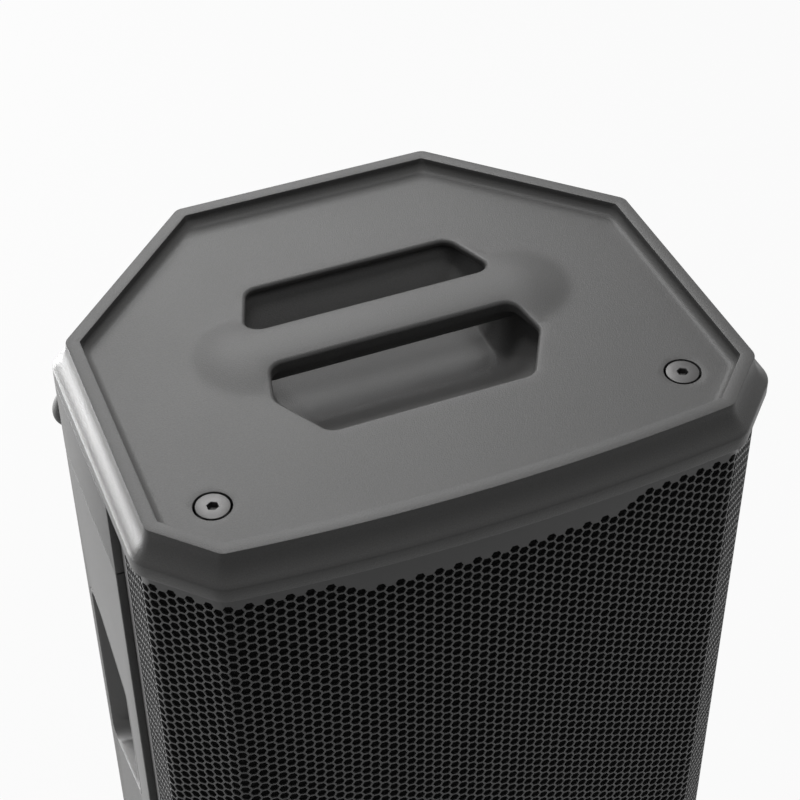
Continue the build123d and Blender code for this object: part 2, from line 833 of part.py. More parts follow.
with BuildPart() as woofer_yoke:
    profile = [
        (frame_back - 2, woofer_vent),
        (frame_back - 2, pole_radius),
        (magnet_back, pole_radius),
        (magnet_back, magnet_radius - 2),
        (yoke_back, magnet_radius - 2),
        (yoke_back, woofer_vent),
    ]
    add(turned(from_baffle(profile), 0, woofer_z))
woofer_yoke.part.label = "woofer_yoke"
export_step(woofer_yoke.part, "parts/woofer_yoke.step")

# Horn and compression driver
horn_back_y = baffle_front_y + horn_depth


def horn_flare(grow):
    with BuildPart() as solid:
        with BuildSketch(Plane.XZ.offset(-baffle_front_y + horn_wall)):
            with Locations((0, horn_z)):
                RectangleRounded(
                    horn_width - 2 * (horn_wall + fit) + 2 * grow,
                    horn_height - 2 * (horn_wall + fit) + 2 * grow,
                    throat_radius - 2 + grow,
                )
        with BuildSketch(Plane.XZ.offset(-horn_back_y - grow)):
            with Locations((0, horn_z)):
                RectangleRounded(2 * (throat_radius + grow), 2 * (throat_radius + grow), throat_radius - 2 + grow)
        loft(ruled=True)
    return solid.part


with BuildPart() as horn:
    add(horn_flare(horn_wall))
    add(block((-far, far), (baffle_front_y, horn_back_y), (0, far)), mode=Mode.INTERSECT)
    add(
        block(
            (-horn_half_x - horn_rim, horn_half_x + horn_rim),
            (baffle_front_y - 3, baffle_front_y),
            (horn_z - horn_half_z - horn_rim, horn_z + horn_half_z + horn_rim),
        )
    )
    add(rod(0, horn_z, driver_radius, (horn_back_y - 6, horn_back_y)))
    add(horn_flare(0), mode=Mode.SUBTRACT)
horn.part.label = "horn"
export_step(horn.part, "parts/horn.step")


def from_driver(profile):
    return [(horn_back_y + y, radius) for y, radius in profile]


with BuildPart() as driver_front_plate:
    profile = [
        (0, throat_radius),
        (0, driver_radius),
        (8, driver_radius),
        (8, 26.5),
        (24, 26.5),
        (24, throat_radius + 2),
    ]
    add(turned(from_driver(profile), 0, horn_z))
driver_front_plate.part.label = "driver_front_plate"
export_step(driver_front_plate.part, "parts/driver_front_plate.step")

with BuildPart() as driver_magnet:
    add(turned(from_driver([(8, 27), (8, driver_radius - 1), (22, driver_radius - 1), (22, 27)]), 0, horn_z))
driver_magnet.part.label = "driver_magnet"
export_step(driver_magnet.part, "parts/driver_magnet.step")

with BuildPart() as driver_yoke:
    add(turned(from_driver([(22, 28), (22, driver_radius), (30, driver_radius), (30, 28)]), 0, horn_z))
driver_yoke.part.label = "driver_yoke"
export_step(driver_yoke.part, "parts/driver_yoke.step")

with BuildPart() as driver_diaphragm:
    profile = [(38, 0), (37, 12), (34.5, 22), (31, 27.5), (31, 38), (30.6, 38), (30.6, 27), (34, 21.6), (36.4, 12)]
    add(turned(from_driver(profile + [(37.4, 0)]), 0, horn_z))
driver_diaphragm.part.label = "driver_diaphragm"
export_step(driver_diaphragm.part, "parts/driver_diaphragm.step")

with BuildPart() as driver_cover:
    profile = [(30, 39), (30, driver_radius), (50, driver_radius), (50, 0), (47, 0), (47, 41), (32, 41), (32, 39)]
    add(turned(from_driver(profile), 0, horn_z))
driver_cover.part.label = "driver_cover"
export_step(driver_cover.part, "parts/driver_cover.step")

# Port tubes, two below and two above the woofer
with BuildPart() as port_tubes:
    for x, z in port_spots:
        add(rod(x, z, port_radius + port_wall, (baffle_front_y, baffle_front_y + port_length)))
        add(rod(x, z, port_radius + port_wall + 1.2, (baffle_front_y - 2, baffle_front_y)))
        add(rod(x, z, port_radius, (front_y, baffle_front_y + port_length)), mode=Mode.SUBTRACT)
port_tubes.part.label = "port_tubes"
export_step(port_tubes.part, "parts/port_tubes.step")

# Damping pads under the lid and on both flanks
pad_thickness = 15.0
pad_clear = flank_taper + fit
with BuildPart() as damping_pads:
    add(block((-140, 140), (-100, 60), (shell_ceiling - fit - pad_thickness, shell_ceiling - fit)))
    for side in (-1, 1):
        add(
            flank_box(
                side,
                inner_inset + pad_clear + pad_thickness,
                inner_inset + pad_clear,
                (baffle_back_y + 20, joint_y + 80),
                (shell_ceiling - 120, shell_ceiling - 24),
            )
        )
damping_pads.part.label = "damping_pads"
export_step(damping_pads.part, "parts/damping_pads.step")

# Amplifier plate and everything on it
display_x = 22.0
display_width = 62.0
display_height = 34.0
encoder_x = -52.0
inlet_x = -column + 2
switch_x = column - 2
display_z = plate_low + row_display
gain_z = plate_low + row_gain
inputs_z = plate_low + row_inputs
outputs_z = plate_low + row_outputs
sink_z = plate_low + row_sink
mains_z = plate_low + row_mains
plate_screw_x = plate_width / 2 - ledge / 2
plate_screw_spots = [
    (side * plate_screw_x, plate_low + 8 + step * (plate_height - 16) / 4)
    for side in (-1, 1)
    for step in range(5)
]
jack_radius = 12.0
bush_radius = 4.5
shaft_radius = 3.0
encoder_half = 8.0
encoder_depth = 9.0
encoder_knob_radius = 14.0
finger_dimple = 2.5
pot_radius = 8.5
pot_depth = 10.0
gain_knob_radius = 8.0
knob_height = 9.0
plate_screw_radius = 1.5
plate_screw_head = 3.4
inlet_half = (24.0, 17.0)
inlet_border = 3.0
switch_half = (9.0, 13.5)


def upright(x, z, half_x, half_z, y_range):
    return block((x - half_x, x + half_x), y_range, (z - half_z, z + half_z))


with BuildPart() as amp_plate:
    add(upright(0, plate_low + plate_height / 2, plate_width / 2, plate_height / 2, (plate_back_y, plate_y)))
    holes = [rod(side * column, z, jack_radius + fit, (0, rear_y)) for side in (-1, 1) for z in (inputs_z, outputs_z)]
    holes += [rod(side * column, gain_z, bush_radius + fit, (0, rear_y)) for side in (-1, 1)]
    holes += [rod(encoder_x, display_z, bush_radius + fit, (0, rear_y))]
    holes += [rod(x, z, plate_screw_radius + running, (0, rear_y)) for x, z in plate_screw_spots]
    holes += [upright(display_x, display_z, display_width / 2, display_height / 2, (0, rear_y))]
    holes += [upright(inlet_x, mains_z, inlet_half[0] + fit, inlet_half[1] + fit, (0, rear_y))]
    holes += [upright(switch_x, mains_z, switch_half[0] + fit, switch_half[1] + fit, (0, rear_y))]
    for hole in holes:
        add(hole, mode=Mode.SUBTRACT)
amp_plate.part.label = "amp_plate"
export_step(amp_plate.part, "parts/amp_plate.step")

with BuildPart() as plate_screws:
    for x, z in plate_screw_spots:
        add(rod(x, z, plate_screw_head, (plate_y, plate_y + 2.2)))
        add(rod(x, z, plate_screw_radius, (rear_y - frame_depth + 2, plate_y)))
        rear_shell.part = rear_shell.part - rod(x, z, plate_screw_radius + running, (plate_y - 30, plate_y))
plate_screws.part.label = "plate_screws"
export_step(plate_screws.part, "parts/plate_screws.step")
rear_shell.part.label = "rear_shell"
export_step(rear_shell.part, "parts/rear_shell.step")

sink_half = (72.0, 60.0)
fin_pitch = 9.0
fin_thickness = 2.4
fin_count = 16
with BuildPart() as heatsink:
    add(upright(0, sink_z, sink_half[0], sink_half[1], (plate_y, plate_y + 3)))
    for number in range(fin_count):
        fin_x = (number - (fin_count - 1) / 2) * fin_pitch
        add(upright(fin_x, sink_z, fin_thickness / 2, sink_half[1], (plate_y + 3, plate_y + 14)))
heatsink.part.label = "heatsink"
export_step(heatsink.part, "parts/heatsink.step")

with BuildPart() as display_window:
    add(
        upright(
            display_x,
            display_z,
            display_width / 2 - fit,
            display_height / 2 - fit,
            (plate_back_y, plate_y + 1),
        )
    )
    add(upright(display_x, display_z, display_width / 2 + 3, display_height / 2 + 3, (plate_back_y - 6, plate_back_y)))
display_window.part.label = "display_window"
export_step(display_window.part, "parts/display_window.step")

with BuildPart() as encoder_body:
    add(upright(encoder_x, display_z, encoder_half, encoder_half, (plate_back_y - encoder_depth, plate_back_y)))
    add(rod(encoder_x, display_z, bush_radius, (plate_back_y, plate_y + 4)))
    add(rod(encoder_x, display_z, shaft_radius + running, (plate_back_y - 6, plate_y + 4)), mode=Mode.SUBTRACT)
    add(rod(encoder_x, display_z, 5.5, (plate_back_y - 7, plate_back_y - 2)), mode=Mode.SUBTRACT)
encoder_body.part.label = "encoder_body"
export_step(encoder_body.part, "parts/encoder_body.step")

with BuildPart() as encoder_plunger:
    add(rod(encoder_x, display_z, 5.2, (plate_back_y - 5, plate_back_y - 3)))
encoder_plunger.part.label = "encoder_plunger"
export_step(encoder_plunger.part, "parts/encoder_plunger.step")

with BuildPart() as encoder_knob:
    add(rod(encoder_x, display_z, shaft_radius, (plate_back_y - 2.9, plate_y + 6)))
    add(rod(encoder_x, display_z, encoder_knob_radius, (plate_y + 5, plate_y + 5 + knob_height)))
    add(rod(encoder_x, display_z + 9, finger_dimple, (plate_y + 13, plate_y + 15)), mode=Mode.SUBTRACT)
encoder_knob.part.label = "encoder_knob"
export_step(encoder_knob.part, "parts/encoder_knob.step")

with BuildPart() as gain_pots:
    for side in (-1, 1):
        add(rod(side * column, gain_z, pot_radius, (plate_back_y - pot_depth, plate_back_y)))
        add(rod(side * column, gain_z, bush_radius, (plate_back_y, plate_y + 2)))
        add(rod(side * column, gain_z, shaft_radius + running, (plate_back_y - 8, rear_y)), mode=Mode.SUBTRACT)
gain_pots.part.label = "gain_pots"
export_step(gain_pots.part, "parts/gain_pots.step")

for name, side in (("a", 1), ("b", -1)):
    with BuildPart() as gain_knob:
        add(rod(side * column, gain_z, shaft_radius, (plate_back_y - 7.9, plate_y + 4)))
        add(rod(side * column, gain_z, gain_knob_radius, (plate_y + 3, plate_y + 13)))
        add(upright(side * column, gain_z + 6, 0.6, 4, (plate_y + 12.4, plate_y + 14)), mode=Mode.SUBTRACT)
    gain_knob.part.label = f"gain_knob_{name}"
    export_step(gain_knob.part, f"parts/gain_knob_{name}.step")

socket_half = (13.0, 15.5)
latch_drop = 12.6
with BuildPart() as combo_jacks:
    for side in (-1, 1):
        add(upright(side * column, inputs_z, socket_half[0], socket_half[1], (plate_y, plate_y + 2)))
        add(rod(side * column, inputs_z, jack_radius, (plate_back_y - 20, plate_y)))
        add(rod(side * column, inputs_z, 10, (plate_y - 14, rear_y)), mode=Mode.SUBTRACT)
        add(rod(side * column, inputs_z, 7.6, (plate_y - 14, plate_y + 0.5)))
        add(rod(side * column, inputs_z, 3.3, (plate_back_y - 17, rear_y)), mode=Mode.SUBTRACT)
        add(
            upright(side * column, inputs_z + latch_drop, 4 + fit, 2 + fit, (plate_y, rear_y)),
            mode=Mode.SUBTRACT,
        )
combo_jacks.part.label = "combo_jacks"
export_step(combo_jacks.part, "parts/combo_jacks.step")

for name, side in (("a", 1), ("b", -1)):
    with BuildPart() as latch_tab:
        add(upright(side * column, inputs_z + latch_drop, 4, 2, (plate_y + 1.7, plate_y + 4.7)))
    latch_tab.part.label = f"latch_tab_{name}"
    export_step(latch_tab.part, f"parts/latch_tab_{name}.step")

with BuildPart() as line_outputs:
    for side in (-1, 1):
        add(upright(side * column, outputs_z, socket_half[0], socket_half[1], (plate_y, plate_y + 2)))
        add(rod(side * column, outputs_z, jack_radius, (plate_back_y - 16, plate_y)))
        add(rod(side * column, outputs_z, 9.6, (plate_y - 14, rear_y)), mode=Mode.SUBTRACT)
        for turn in (0, tau / 3, 2 * tau / 3):
            pin_x = side * column + 4.6 * sin(turn)
            add(rod(pin_x, outputs_z - 4.6 * cos(turn), 1.25, (plate_y - 15, plate_y - 2)))
line_outputs.part.label = "line_outputs"
export_step(line_outputs.part, "parts/line_outputs.step")

inlet_well_z = mains_z + 6
drawer_z = mains_z - 10.5
drawer_half = (13.0, 3.4)
with BuildPart() as mains_inlet:
    add(upright(inlet_x, mains_z, inlet_half[0], inlet_half[1], (plate_back_y - 20, plate_y)))
    add(
        upright(
            inlet_x,
            mains_z,
            inlet_half[0] + inlet_border,
            inlet_half[1] + inlet_border,
            (plate_y, plate_y + 2),
        )
    )
    add(upright(inlet_x, inlet_well_z, 12.2, 8.4, (plate_y - 16, rear_y)), mode=Mode.SUBTRACT)
    add(
        upright(inlet_x, drawer_z, drawer_half[0] + fit, drawer_half[1] + fit, (plate_y - 18, rear_y)),
        mode=Mode.SUBTRACT,
    )
    for pin_x, pin_z in ((-7, -2), (0, 4), (7, -2)):
        add(upright(inlet_x + pin_x, inlet_well_z + pin_z, 1, 2, (plate_y - 16, plate_y - 1)))
mains_inlet.part.label = "mains_inlet"
export_step(mains_inlet.part, "parts/mains_inlet.step")

with BuildPart() as fuse_drawer:
    add(upright(inlet_x, drawer_z, drawer_half[0], drawer_half[1], (plate_y - 17.5, plate_y + 2)))
    add(upright(inlet_x, drawer_z, drawer_half[0], drawer_half[1], (plate_y + 2, plate_y + 4)))
    add(upright(inlet_x, drawer_z, 4, 1.5, (plate_y + 3, plate_y + 5)), mode=Mode.SUBTRACT)
fuse_drawer.part.label = "fuse_drawer"
export_step(fuse_drawer.part, "parts/fuse_drawer.step")

pivot_y = plate_y - 2
pin_radius = 1.5
rocker_tilt = 8.0
with BuildPart() as switch_housing:
    add(upright(switch_x, mains_z, switch_half[0], switch_half[1], (plate_back_y - 14, plate_y)))
    add(upright(switch_x, mains_z, switch_half[0] + 2, switch_half[1] + 2, (plate_y, plate_y + 2)))
    add(upright(switch_x, mains_z, 7.5, 12.4, (plate_back_y - 12, rear_y)), mode=Mode.SUBTRACT)
    with BuildSketch(Plane.YZ.offset(switch_x - 8.5)):
        with Locations((pivot_y, mains_z)):
            Circle(pin_radius + running)
    extrude(amount=17, mode=Mode.SUBTRACT)
switch_housing.part.label = "switch_housing"
export_step(switch_housing.part, "parts/switch_housing.step")

with BuildPart() as switch_rocker:
    with BuildSketch(Plane.YZ.offset(switch_x - 7.2)):
        with BuildLine():
            Polyline(
                (pivot_y + 6, mains_z - 10.3),
                (pivot_y + 4.4, mains_z),
                (pivot_y + 6, mains_z + 10.3),
                (pivot_y - 1, mains_z + 10),
                (pivot_y - 5, mains_z + 4),
                (pivot_y - 5, mains_z - 4),
                (pivot_y - 1, mains_z - 10),
                close=True,
            )
        make_face()
    extrude(amount=14.4)
    with BuildSketch(Plane.YZ.offset(switch_x - 8.2)):
        with Locations((pivot_y, mains_z)):
            Circle(pin_radius)
    extrude(amount=16.4)
switch_rocker.part = switch_rocker.part.rotate(Axis((0, pivot_y, mains_z), (1, 0, 0)), rocker_tilt)
switch_rocker.part.label = "switch_rocker"
export_step(switch_rocker.part, "parts/switch_rocker.step")

# Amplifier electronics on a folded chassis behind the plate
chassis_y = 80.0
chassis_half = 71.0
chassis_sheet = 2.0
chassis_low = plate_low + 100
chassis_high = plate_low + 340
with BuildPart() as amp_chassis:
    add(block((-chassis_half, chassis_half), (chassis_y, plate_back_y), (chassis_low, chassis_high)))
    add(
        block(
            (chassis_sheet - chassis_half, chassis_half - chassis_sheet),
            (chassis_y + chassis_sheet, plate_back_y),
            (chassis_low, chassis_high),
        ),
        mode=Mode.SUBTRACT,
    )
amp_chassis.part.label = "amp_chassis"
export_step(amp_chassis.part, "parts/amp_chassis.step")

board_y = chassis_y + chassis_sheet + fit
board_sheet = 1.6
board_half = 64.0
board_split = chassis_low + 130
with BuildPart() as amp_board:
    add(block((-board_half, board_half), (board_y, board_y + board_sheet), (chassis_low + 8, board_split)))
    for x in (-34, 0, 34):
        add(upright(x, chassis_low + 70, 10, 10, (board_y + board_sheet, board_y + 16)))
amp_board.part.label = "amp_board"
export_step(amp_board.part, "parts/amp_board.step")

with BuildPart() as power_supply_board:
    add(block((-board_half, board_half), (board_y, board_y + board_sheet), (board_split + 4, chassis_high - 8)))
power_supply_board.part.label = "power_supply_board"
export_step(power_supply_board.part, "parts/power_supply_board.step")

board_face = board_y + board_sheet
with BuildPart() as capacitors:
    for x in (-50, -28):
        for z in (board_split + 24, board_split + 48):
            add(rod(x, z, 9, (board_face, board_face + 32)))
capacitors.part.label = "capacitors"
export_step(capacitors.part, "parts/capacitors.step")

with BuildPart() as transformer:
    add(upright(24, board_split + 46, 20, 18, (board_face, board_face + 30)))
    add(upright(24, board_split + 46, 14, 24, (board_face + 4, board_face + 26)))
transformer.part.label = "transformer"
export_step(transformer.part, "parts/transformer.step")
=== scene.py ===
import json
import math
from bisect import bisect_right

import bmesh
import bpy
from mathutils import Matrix, Vector


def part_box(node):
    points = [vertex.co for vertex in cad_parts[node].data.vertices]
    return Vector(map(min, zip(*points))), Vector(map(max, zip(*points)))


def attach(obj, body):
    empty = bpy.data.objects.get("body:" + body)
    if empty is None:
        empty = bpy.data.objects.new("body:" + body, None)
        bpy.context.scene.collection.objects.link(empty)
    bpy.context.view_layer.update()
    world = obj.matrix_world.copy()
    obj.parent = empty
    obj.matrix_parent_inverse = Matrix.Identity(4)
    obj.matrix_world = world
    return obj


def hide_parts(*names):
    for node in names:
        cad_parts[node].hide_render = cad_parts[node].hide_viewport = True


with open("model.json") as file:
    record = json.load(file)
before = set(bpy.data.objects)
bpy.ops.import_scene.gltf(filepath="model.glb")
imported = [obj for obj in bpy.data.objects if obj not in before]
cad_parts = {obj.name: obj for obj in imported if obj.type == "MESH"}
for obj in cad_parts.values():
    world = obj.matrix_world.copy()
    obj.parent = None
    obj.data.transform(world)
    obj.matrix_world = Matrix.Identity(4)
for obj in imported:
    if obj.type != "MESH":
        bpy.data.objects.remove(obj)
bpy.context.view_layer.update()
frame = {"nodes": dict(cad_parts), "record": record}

nodes = frame["nodes"]
scene = bpy.context.scene
mm = 0.001  # pieces are modelled in millimetres and scaled once, when they are finished


def nodeBox(name):
    low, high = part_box(name)
    return low / mm, high / mm


def nodeCentre(name):
    low, high = nodeBox(name)
    return (low + high) / 2


def pieceName(node):
    first, *rest = node.split("_")
    return first + "".join(word.capitalize() for word in rest)


lowest, highest = nodeBox("top_cap")
halfWidth = highest.x
frontY, rearY = lowest.y, highest.y
rimZ = highest.z
lipLowZ = lowest.z
boltLow, boltHigh = nodeBox("top_bolts")
trayZ = boltHigh.z
footZ = nodeBox("bottom_feet")[1].z
plateY = nodeBox("amp_plate")[1].y
grilleLow, grilleHigh = nodeBox("grille")
bodyOf = {node: body for body, members in frame["record"]["behaviour"]["bodies"].items() for node in members}
slotOf = {entry["node"]: entry["material_slot"] for entry in frame["record"]["subparts"]}

# The plan outline over the lips, shared by the caps and the grille
plan = {
    "frontBow": 9.4,
    "frontChamfer": (38.4, 39.3),
    "rearChamfer": (107.3, 106.1),
    "flankTaper": 1.4,
    "corner": 18.0,
    "leastCorner": 2.0,
    "bowSteps": 16,
}
smallTurn = math.radians(8)  # an outline bends less than this along a bow, so no arc is put there


def spread(first, last, steps):
    return [first + (last - first) * number / steps for number in range(steps + 1)]


def planCorners():
    frontX = halfWidth - plan["frontChamfer"][0]
    bow = plan["frontBow"]
    radius = (frontX**2 + bow**2) / (2 * bow)
    reach = math.asin(frontX / radius)
    front = [
        Vector((radius * math.sin(a), frontY + radius - radius * math.cos(a)))
        for a in spread(-reach, reach, plan["bowSteps"])
    ]
    flankRearX = halfWidth - plan["flankTaper"]
    right = [
        Vector((halfWidth, frontY + bow + plan["frontChamfer"][1])),
        Vector((flankRearX, rearY - plan["rearChamfer"][1])),
        Vector((flankRearX - plan["rearChamfer"][0], rearY)),
    ]
    return front + right + [Vector((-p.x, p.y)) for p in reversed(right)]


def edgeNormals(corners):
    turned = []
    for here, after in zip(corners, corners[1:] + corners[:1]):
        step = (after - here).normalized()
        turned.append(Vector((step.y, -step.x)))
    return turned


# Points of a convex outline drawn in by an inset, with an arc at each corner. Every inset gives equally many
def roundedOutline(corners, radius, inset=0.0, steps=6):
    normals = edgeNormals(corners)
    points = []
    for corner, before, after in zip(corners, normals[-1:] + normals[:-1], normals):
        middle = corner - (radius + inset) * (before + after) / (1 + before.dot(after))
        turn = before.angle(after)
        start = math.atan2(before.y, before.x)
        for share in spread(0, 1, steps) if turn > smallTurn else [0.5]:
            angle = start + turn * share
            points.append(middle + radius * Vector((math.cos(angle), math.sin(angle))))
    return points


# How far a point lies outside a convex outline, negative inside
def clearance(corners, point):
    return max(n.dot(point - c) for c, n in zip(corners, edgeNormals(corners)))


def planRing(inset, z, radius=None):
    if radius is None:
        radius = max(plan["corner"] - inset, plan["leastCorner"])
    return [Vector((p.x, p.y, z)) for p in roundedOutline(planCorners(), radius, inset)]


# Pulls a loop of edges through rings of equally many points
def loft(bm, rings, startFace=False, endFace=False):
    verts = [bm.verts.new(p) for p in rings[0]]
    edges = [bm.edges.new(pair) for pair in zip(verts, verts[1:] + verts[:1])]
    firstEdges = edges
    if startFace:
        bm.faces.new(verts)
    for ring in rings[1:]:
        made = bmesh.ops.extrude_edge_only(bm, edges=edges)["geom"]
        fresh = {g for g in made if isinstance(g, bmesh.types.BMVert)}
        verts = [next(e.other_vert(v) for e in v.link_edges if e.other_vert(v) in fresh) for v in verts]
        for vert, place in zip(verts, ring):
            vert.co = place
        edges = [bm.edges.get(pair) for pair in zip(verts, verts[1:] + verts[:1])]
    if endFace:
        bm.faces.new(verts)
    return firstEdges, edges


# Carries a loop of edges straight up or down to a height, and gives the edges it ends on
def carryTo(bm, edges, z):
    made = bmesh.ops.extrude_edge_only(bm, edges=edges)["geom"]
    fresh = [g for g in made if isinstance(g, bmesh.types.BMVert)]
    for vert in fresh:
        vert.co.z = z
    return [g for g in made if isinstance(g, bmesh.types.BMEdge) and all(v in fresh for v in g.verts)]


def circle(x, y, z, radius, count=48):
    return [
        Vector((x + radius * math.cos(a), y + radius * math.sin(a), z))
        for a in spread(0, 2 * math.pi, count)[:-1]
    ]


def fillBetween(bm, edges, normal=(0, 0, 1)):
    bmesh.ops.triangle_fill(bm, edges=list(edges), use_beauty=True, use_dissolve=False, normal=normal)


def finishPiece(bm, name, slotName, body="root", stands=(), smooth=32, tidy=True):
    if tidy:
        bmesh.ops.recalc_face_normals(bm, faces=bm.faces)
    bmesh.ops.scale(bm, vec=(mm, mm, mm), verts=bm.verts)
    mesh = bpy.data.meshes.new(name)
    bm.to_mesh(mesh)
    bm.free()
    mesh.shade_smooth()
    mesh.set_sharp_from_angle(angle=math.radians(smooth))
    mesh.materials.append(finishes[slotName])
    piece = bpy.data.objects.new(name, mesh)
    scene.collection.objects.link(piece)
    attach(piece, body)
    if stands:
        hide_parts(*stands)
    return piece


# Camera: a long lens above the front left corner
view = {
    "place": (-0.34041, -0.86957, 1.44345),
    "turn": -22.148,
    "pitch": 42.6205,
    "roll": -0.2948,
    "lens": 90.32,
    "shift": (-0.01343, 0.02215),
}


def makeCamera():
    data = bpy.data.cameras.new("camera")
    data.lens = view["lens"]
    data.sensor_width = 36
    data.shift_x, data.shift_y = view["shift"]
    data.clip_start = 0.05
    camera = bpy.data.objects.new("camera", data)
    turn = Matrix.Rotation(math.radians(view["turn"]), 4, "Z")
    tip = Matrix.Rotation(math.radians(90 - view["pitch"]), 4, "X")
    roll = Matrix.Rotation(math.radians(view["roll"]), 4, "Z")
    camera.matrix_world = Matrix.Translation(view["place"]) @ turn @ tip @ roll
    scene.collection.objects.link(camera)
    scene.camera = camera


makeCamera()
print("camera placed")


# Shader maths: a wrapped socket adds a Math node for each operator
class Value:
    def __init__(self, graph, socket):
        self.graph = graph
        self.socket = socket

    def maths(self, operation, *others):
        return self.graph.maths(operation, self, *others)

    def __add__(self, other):
        return self.maths("ADD", other)

    def __radd__(self, other):
        return self.graph.maths("ADD", other, self)

    def __sub__(self, other):
        return self.maths("SUBTRACT", other)

    def __rsub__(self, other):
        return self.graph.maths("SUBTRACT", other, self)

    def __mul__(self, other):
        return self.maths("MULTIPLY", other)

    def __rmul__(self, other):
        return self.graph.maths("MULTIPLY", other, self)

    def __pow__(self, other):
        return self.maths("POWER", other)

    def __abs__(self):
        return self.maths("ABSOLUTE")

    def above(self, edge):
        return self.maths("GREATER_THAN", edge)

    def below(self, edge):
        return self.maths("LESS_THAN", edge)


# A node tree that nodes are added to, each by its type, its settings and what its sockets take
class Graph:
    def __init__(self, tree):
        self.tree = tree

    def node(self, kind, settings, inputs, output=0):
        made = self.tree.nodes.new("ShaderNode" + kind)
        for key, value in settings.items():
            setattr(made, key, value)
        for key, value in inputs.items():
            if isinstance(value, Value):
                self.tree.links.new(value.socket, made.inputs[key])
            else:
                made.inputs[key].default_value = value
        return Value(self, made.outputs[output])

    def maths(self, operation, *terms):
        return self.node("Math", {"operation": operation}, dict(enumerate(terms)))

    # 1 for what the camera sees, straight or by way of a mirror or glass
    def seen(self):
        camera = self.node("LightPath", {}, {}, "Is Camera Ray")
        glossy = self.node("LightPath", {}, {}, "Is Glossy Ray")
        through = self.node("LightPath", {}, {}, "Is Transmission Ray")
        return camera.maths("MAXIMUM", glossy).maths("MAXIMUM", through)


class Surface(Graph):
    def __init__(self, name, constants):
        self.material = bpy.data.materials.new(name)
        self.material.use_nodes = True
        super().__init__(self.material.node_tree)
        self.shader = self.tree.nodes["Principled BSDF"]
        for key, value in constants.items():
            self.shader.inputs[key].default_value = value
        self.place = self.node("TexCoord", {}, {}, "Object")

    def noise(self, scale, detail=2.0, stretch=(1, 1, 1)):
        where = self.place
        if stretch != (1, 1, 1):
            where = self.node("Mapping", {}, {"Vector": self.place, "Scale": stretch})
        return self.node("TexNoise", {}, {"Vector": where, "Scale": scale, "Detail": detail})

    def mix(self, factor, first, second):
        return self.node("Mix", {"data_type": "RGBA"}, {0: factor, 6: first, 7: second}, 2)

    def bump(self, height, distance):
        return self.node("Bump", {}, {"Height": height, "Distance": distance})

    def axis(self, letter):
        return self.node("SeparateXYZ", {}, {"Vector": self.place}, letter)

    def feed(self, key, value):
        self.tree.links.new(value.socket, self.shader.inputs[key])


def grey(level, warmth=0.0):
    return (level * (1 + warmth), level, level * (1 - warmth), 1)


def toned(colour, factor):
    return tuple(min(c * factor, 1) for c in colour) + (1,)


# A moulded plastic: sandy grain from the mould, and broad faint blotches of gloss
def mouldedPlastic(name, tone, grainScale=1150, grainHeight=0.00016, roughness=0.44):
    s = Surface(name, {"IOR": 1.5, "Specular IOR Level": 0.3})
    sand = s.noise(grainScale, 3)
    blotch = s.noise(14, 4)
    fine = s.noise(grainScale * 2.3, 2)
    warmth = 0.01
    dark, light = grey(tone * 0.62, warmth), grey(tone * 1.38, warmth)
    s.feed("Base Color", s.mix(sand * 0.7 + blotch * 0.3, dark, light))
    s.feed("Roughness", roughness - 0.07 + 0.1 * blotch + 0.06 * fine)
    s.feed("Normal", s.bump(sand + 0.4 * fine, grainHeight))
    return s.material


# A powder coat: rounder, lower pimples than moulded plastic
def powderCoat(name, tone, roughness=0.42):
    s = Surface(name, {"IOR": 1.5, "Specular IOR Level": 0.3})
    peel = s.noise(2400, 2)
    dust = s.noise(30, 4)
    s.feed("Base Color", s.mix(dust, grey(tone * 0.85), grey(tone * 1.2)))
    s.feed("Roughness", roughness - 0.05 + 0.12 * dust)
    s.feed("Normal", s.bump(peel, 0.00006))
    return s.material


# Metal with fine directional scratches
def metal(name, colour, roughness=0.3, stretch=(1, 1, 1)):
    s = Surface(name, {"Metallic": 1.0})
    lines = s.noise(900, 3, stretch)
    wash = s.noise(22, 4)
    s.feed("Base Color", s.mix(lines * 0.5 + wash * 0.5, toned(colour, 0.8), toned(colour, 1.2)))
    s.feed("Roughness", roughness - 0.06 + 0.16 * wash)
    s.feed("Normal", s.bump(lines, 0.00002))
    return s.material


def blackOxide(name):
    s = Surface(name, {"IOR": 1.6})
    pits = s.noise(2600, 3)
    wash = s.noise(160, 3)
    s.feed("Base Color", s.mix(wash, (0.045, 0.044, 0.044, 1), (0.085, 0.083, 0.083, 1)))
    s.feed("Metallic", 0.35 + 0.25 * wash)
    s.feed("Roughness", 0.36 + 0.16 * pits)
    s.feed("Normal", s.bump(pits, 0.00005))
    return s.material


def openFoam(name):
    s = Surface(name, {"Roughness": 1.0, "Specular IOR Level": 0.1})
    cells = s.node("TexVoronoi", {}, {"Vector": s.place, "Scale": 900.0})
    s.feed("Base Color", s.mix(cells, grey(0.002), grey(0.014)))
    s.feed("Normal", s.bump(cells, 0.0005))
    return s.material


def softRubber(name, tone=0.018):
    s = Surface(name, {"IOR": 1.5})
    bloom = s.noise(70, 5)
    grain = s.noise(1800, 2)
    s.feed("Base Color", s.mix(bloom, grey(tone * 0.8), grey(tone * 1.5)))
    s.feed("Roughness", 0.62 + 0.2 * bloom)
    s.feed("Normal", s.bump(grain, 0.00006))
    return s.material


def stainedWood(name):
    s = Surface(name, {"Roughness": 0.7})
    grain = s.noise(26, 6, (1, 1, 14))
    s.feed("Base Color", s.mix(grain, (0.02, 0.016, 0.013, 1), (0.07, 0.055, 0.042, 1)))
    s.feed("Normal", s.bump(grain, 0.0002))
    return s.material


def pulpPaper(name):
    s = Surface(name, {"Roughness": 0.85})
    fibres = s.noise(420, 6, (1, 1, 3))
    s.feed("Base Color", s.mix(fibres, grey(0.015), grey(0.05)))
    s.feed("Normal", s.bump(fibres, 0.0002))
    return s.material


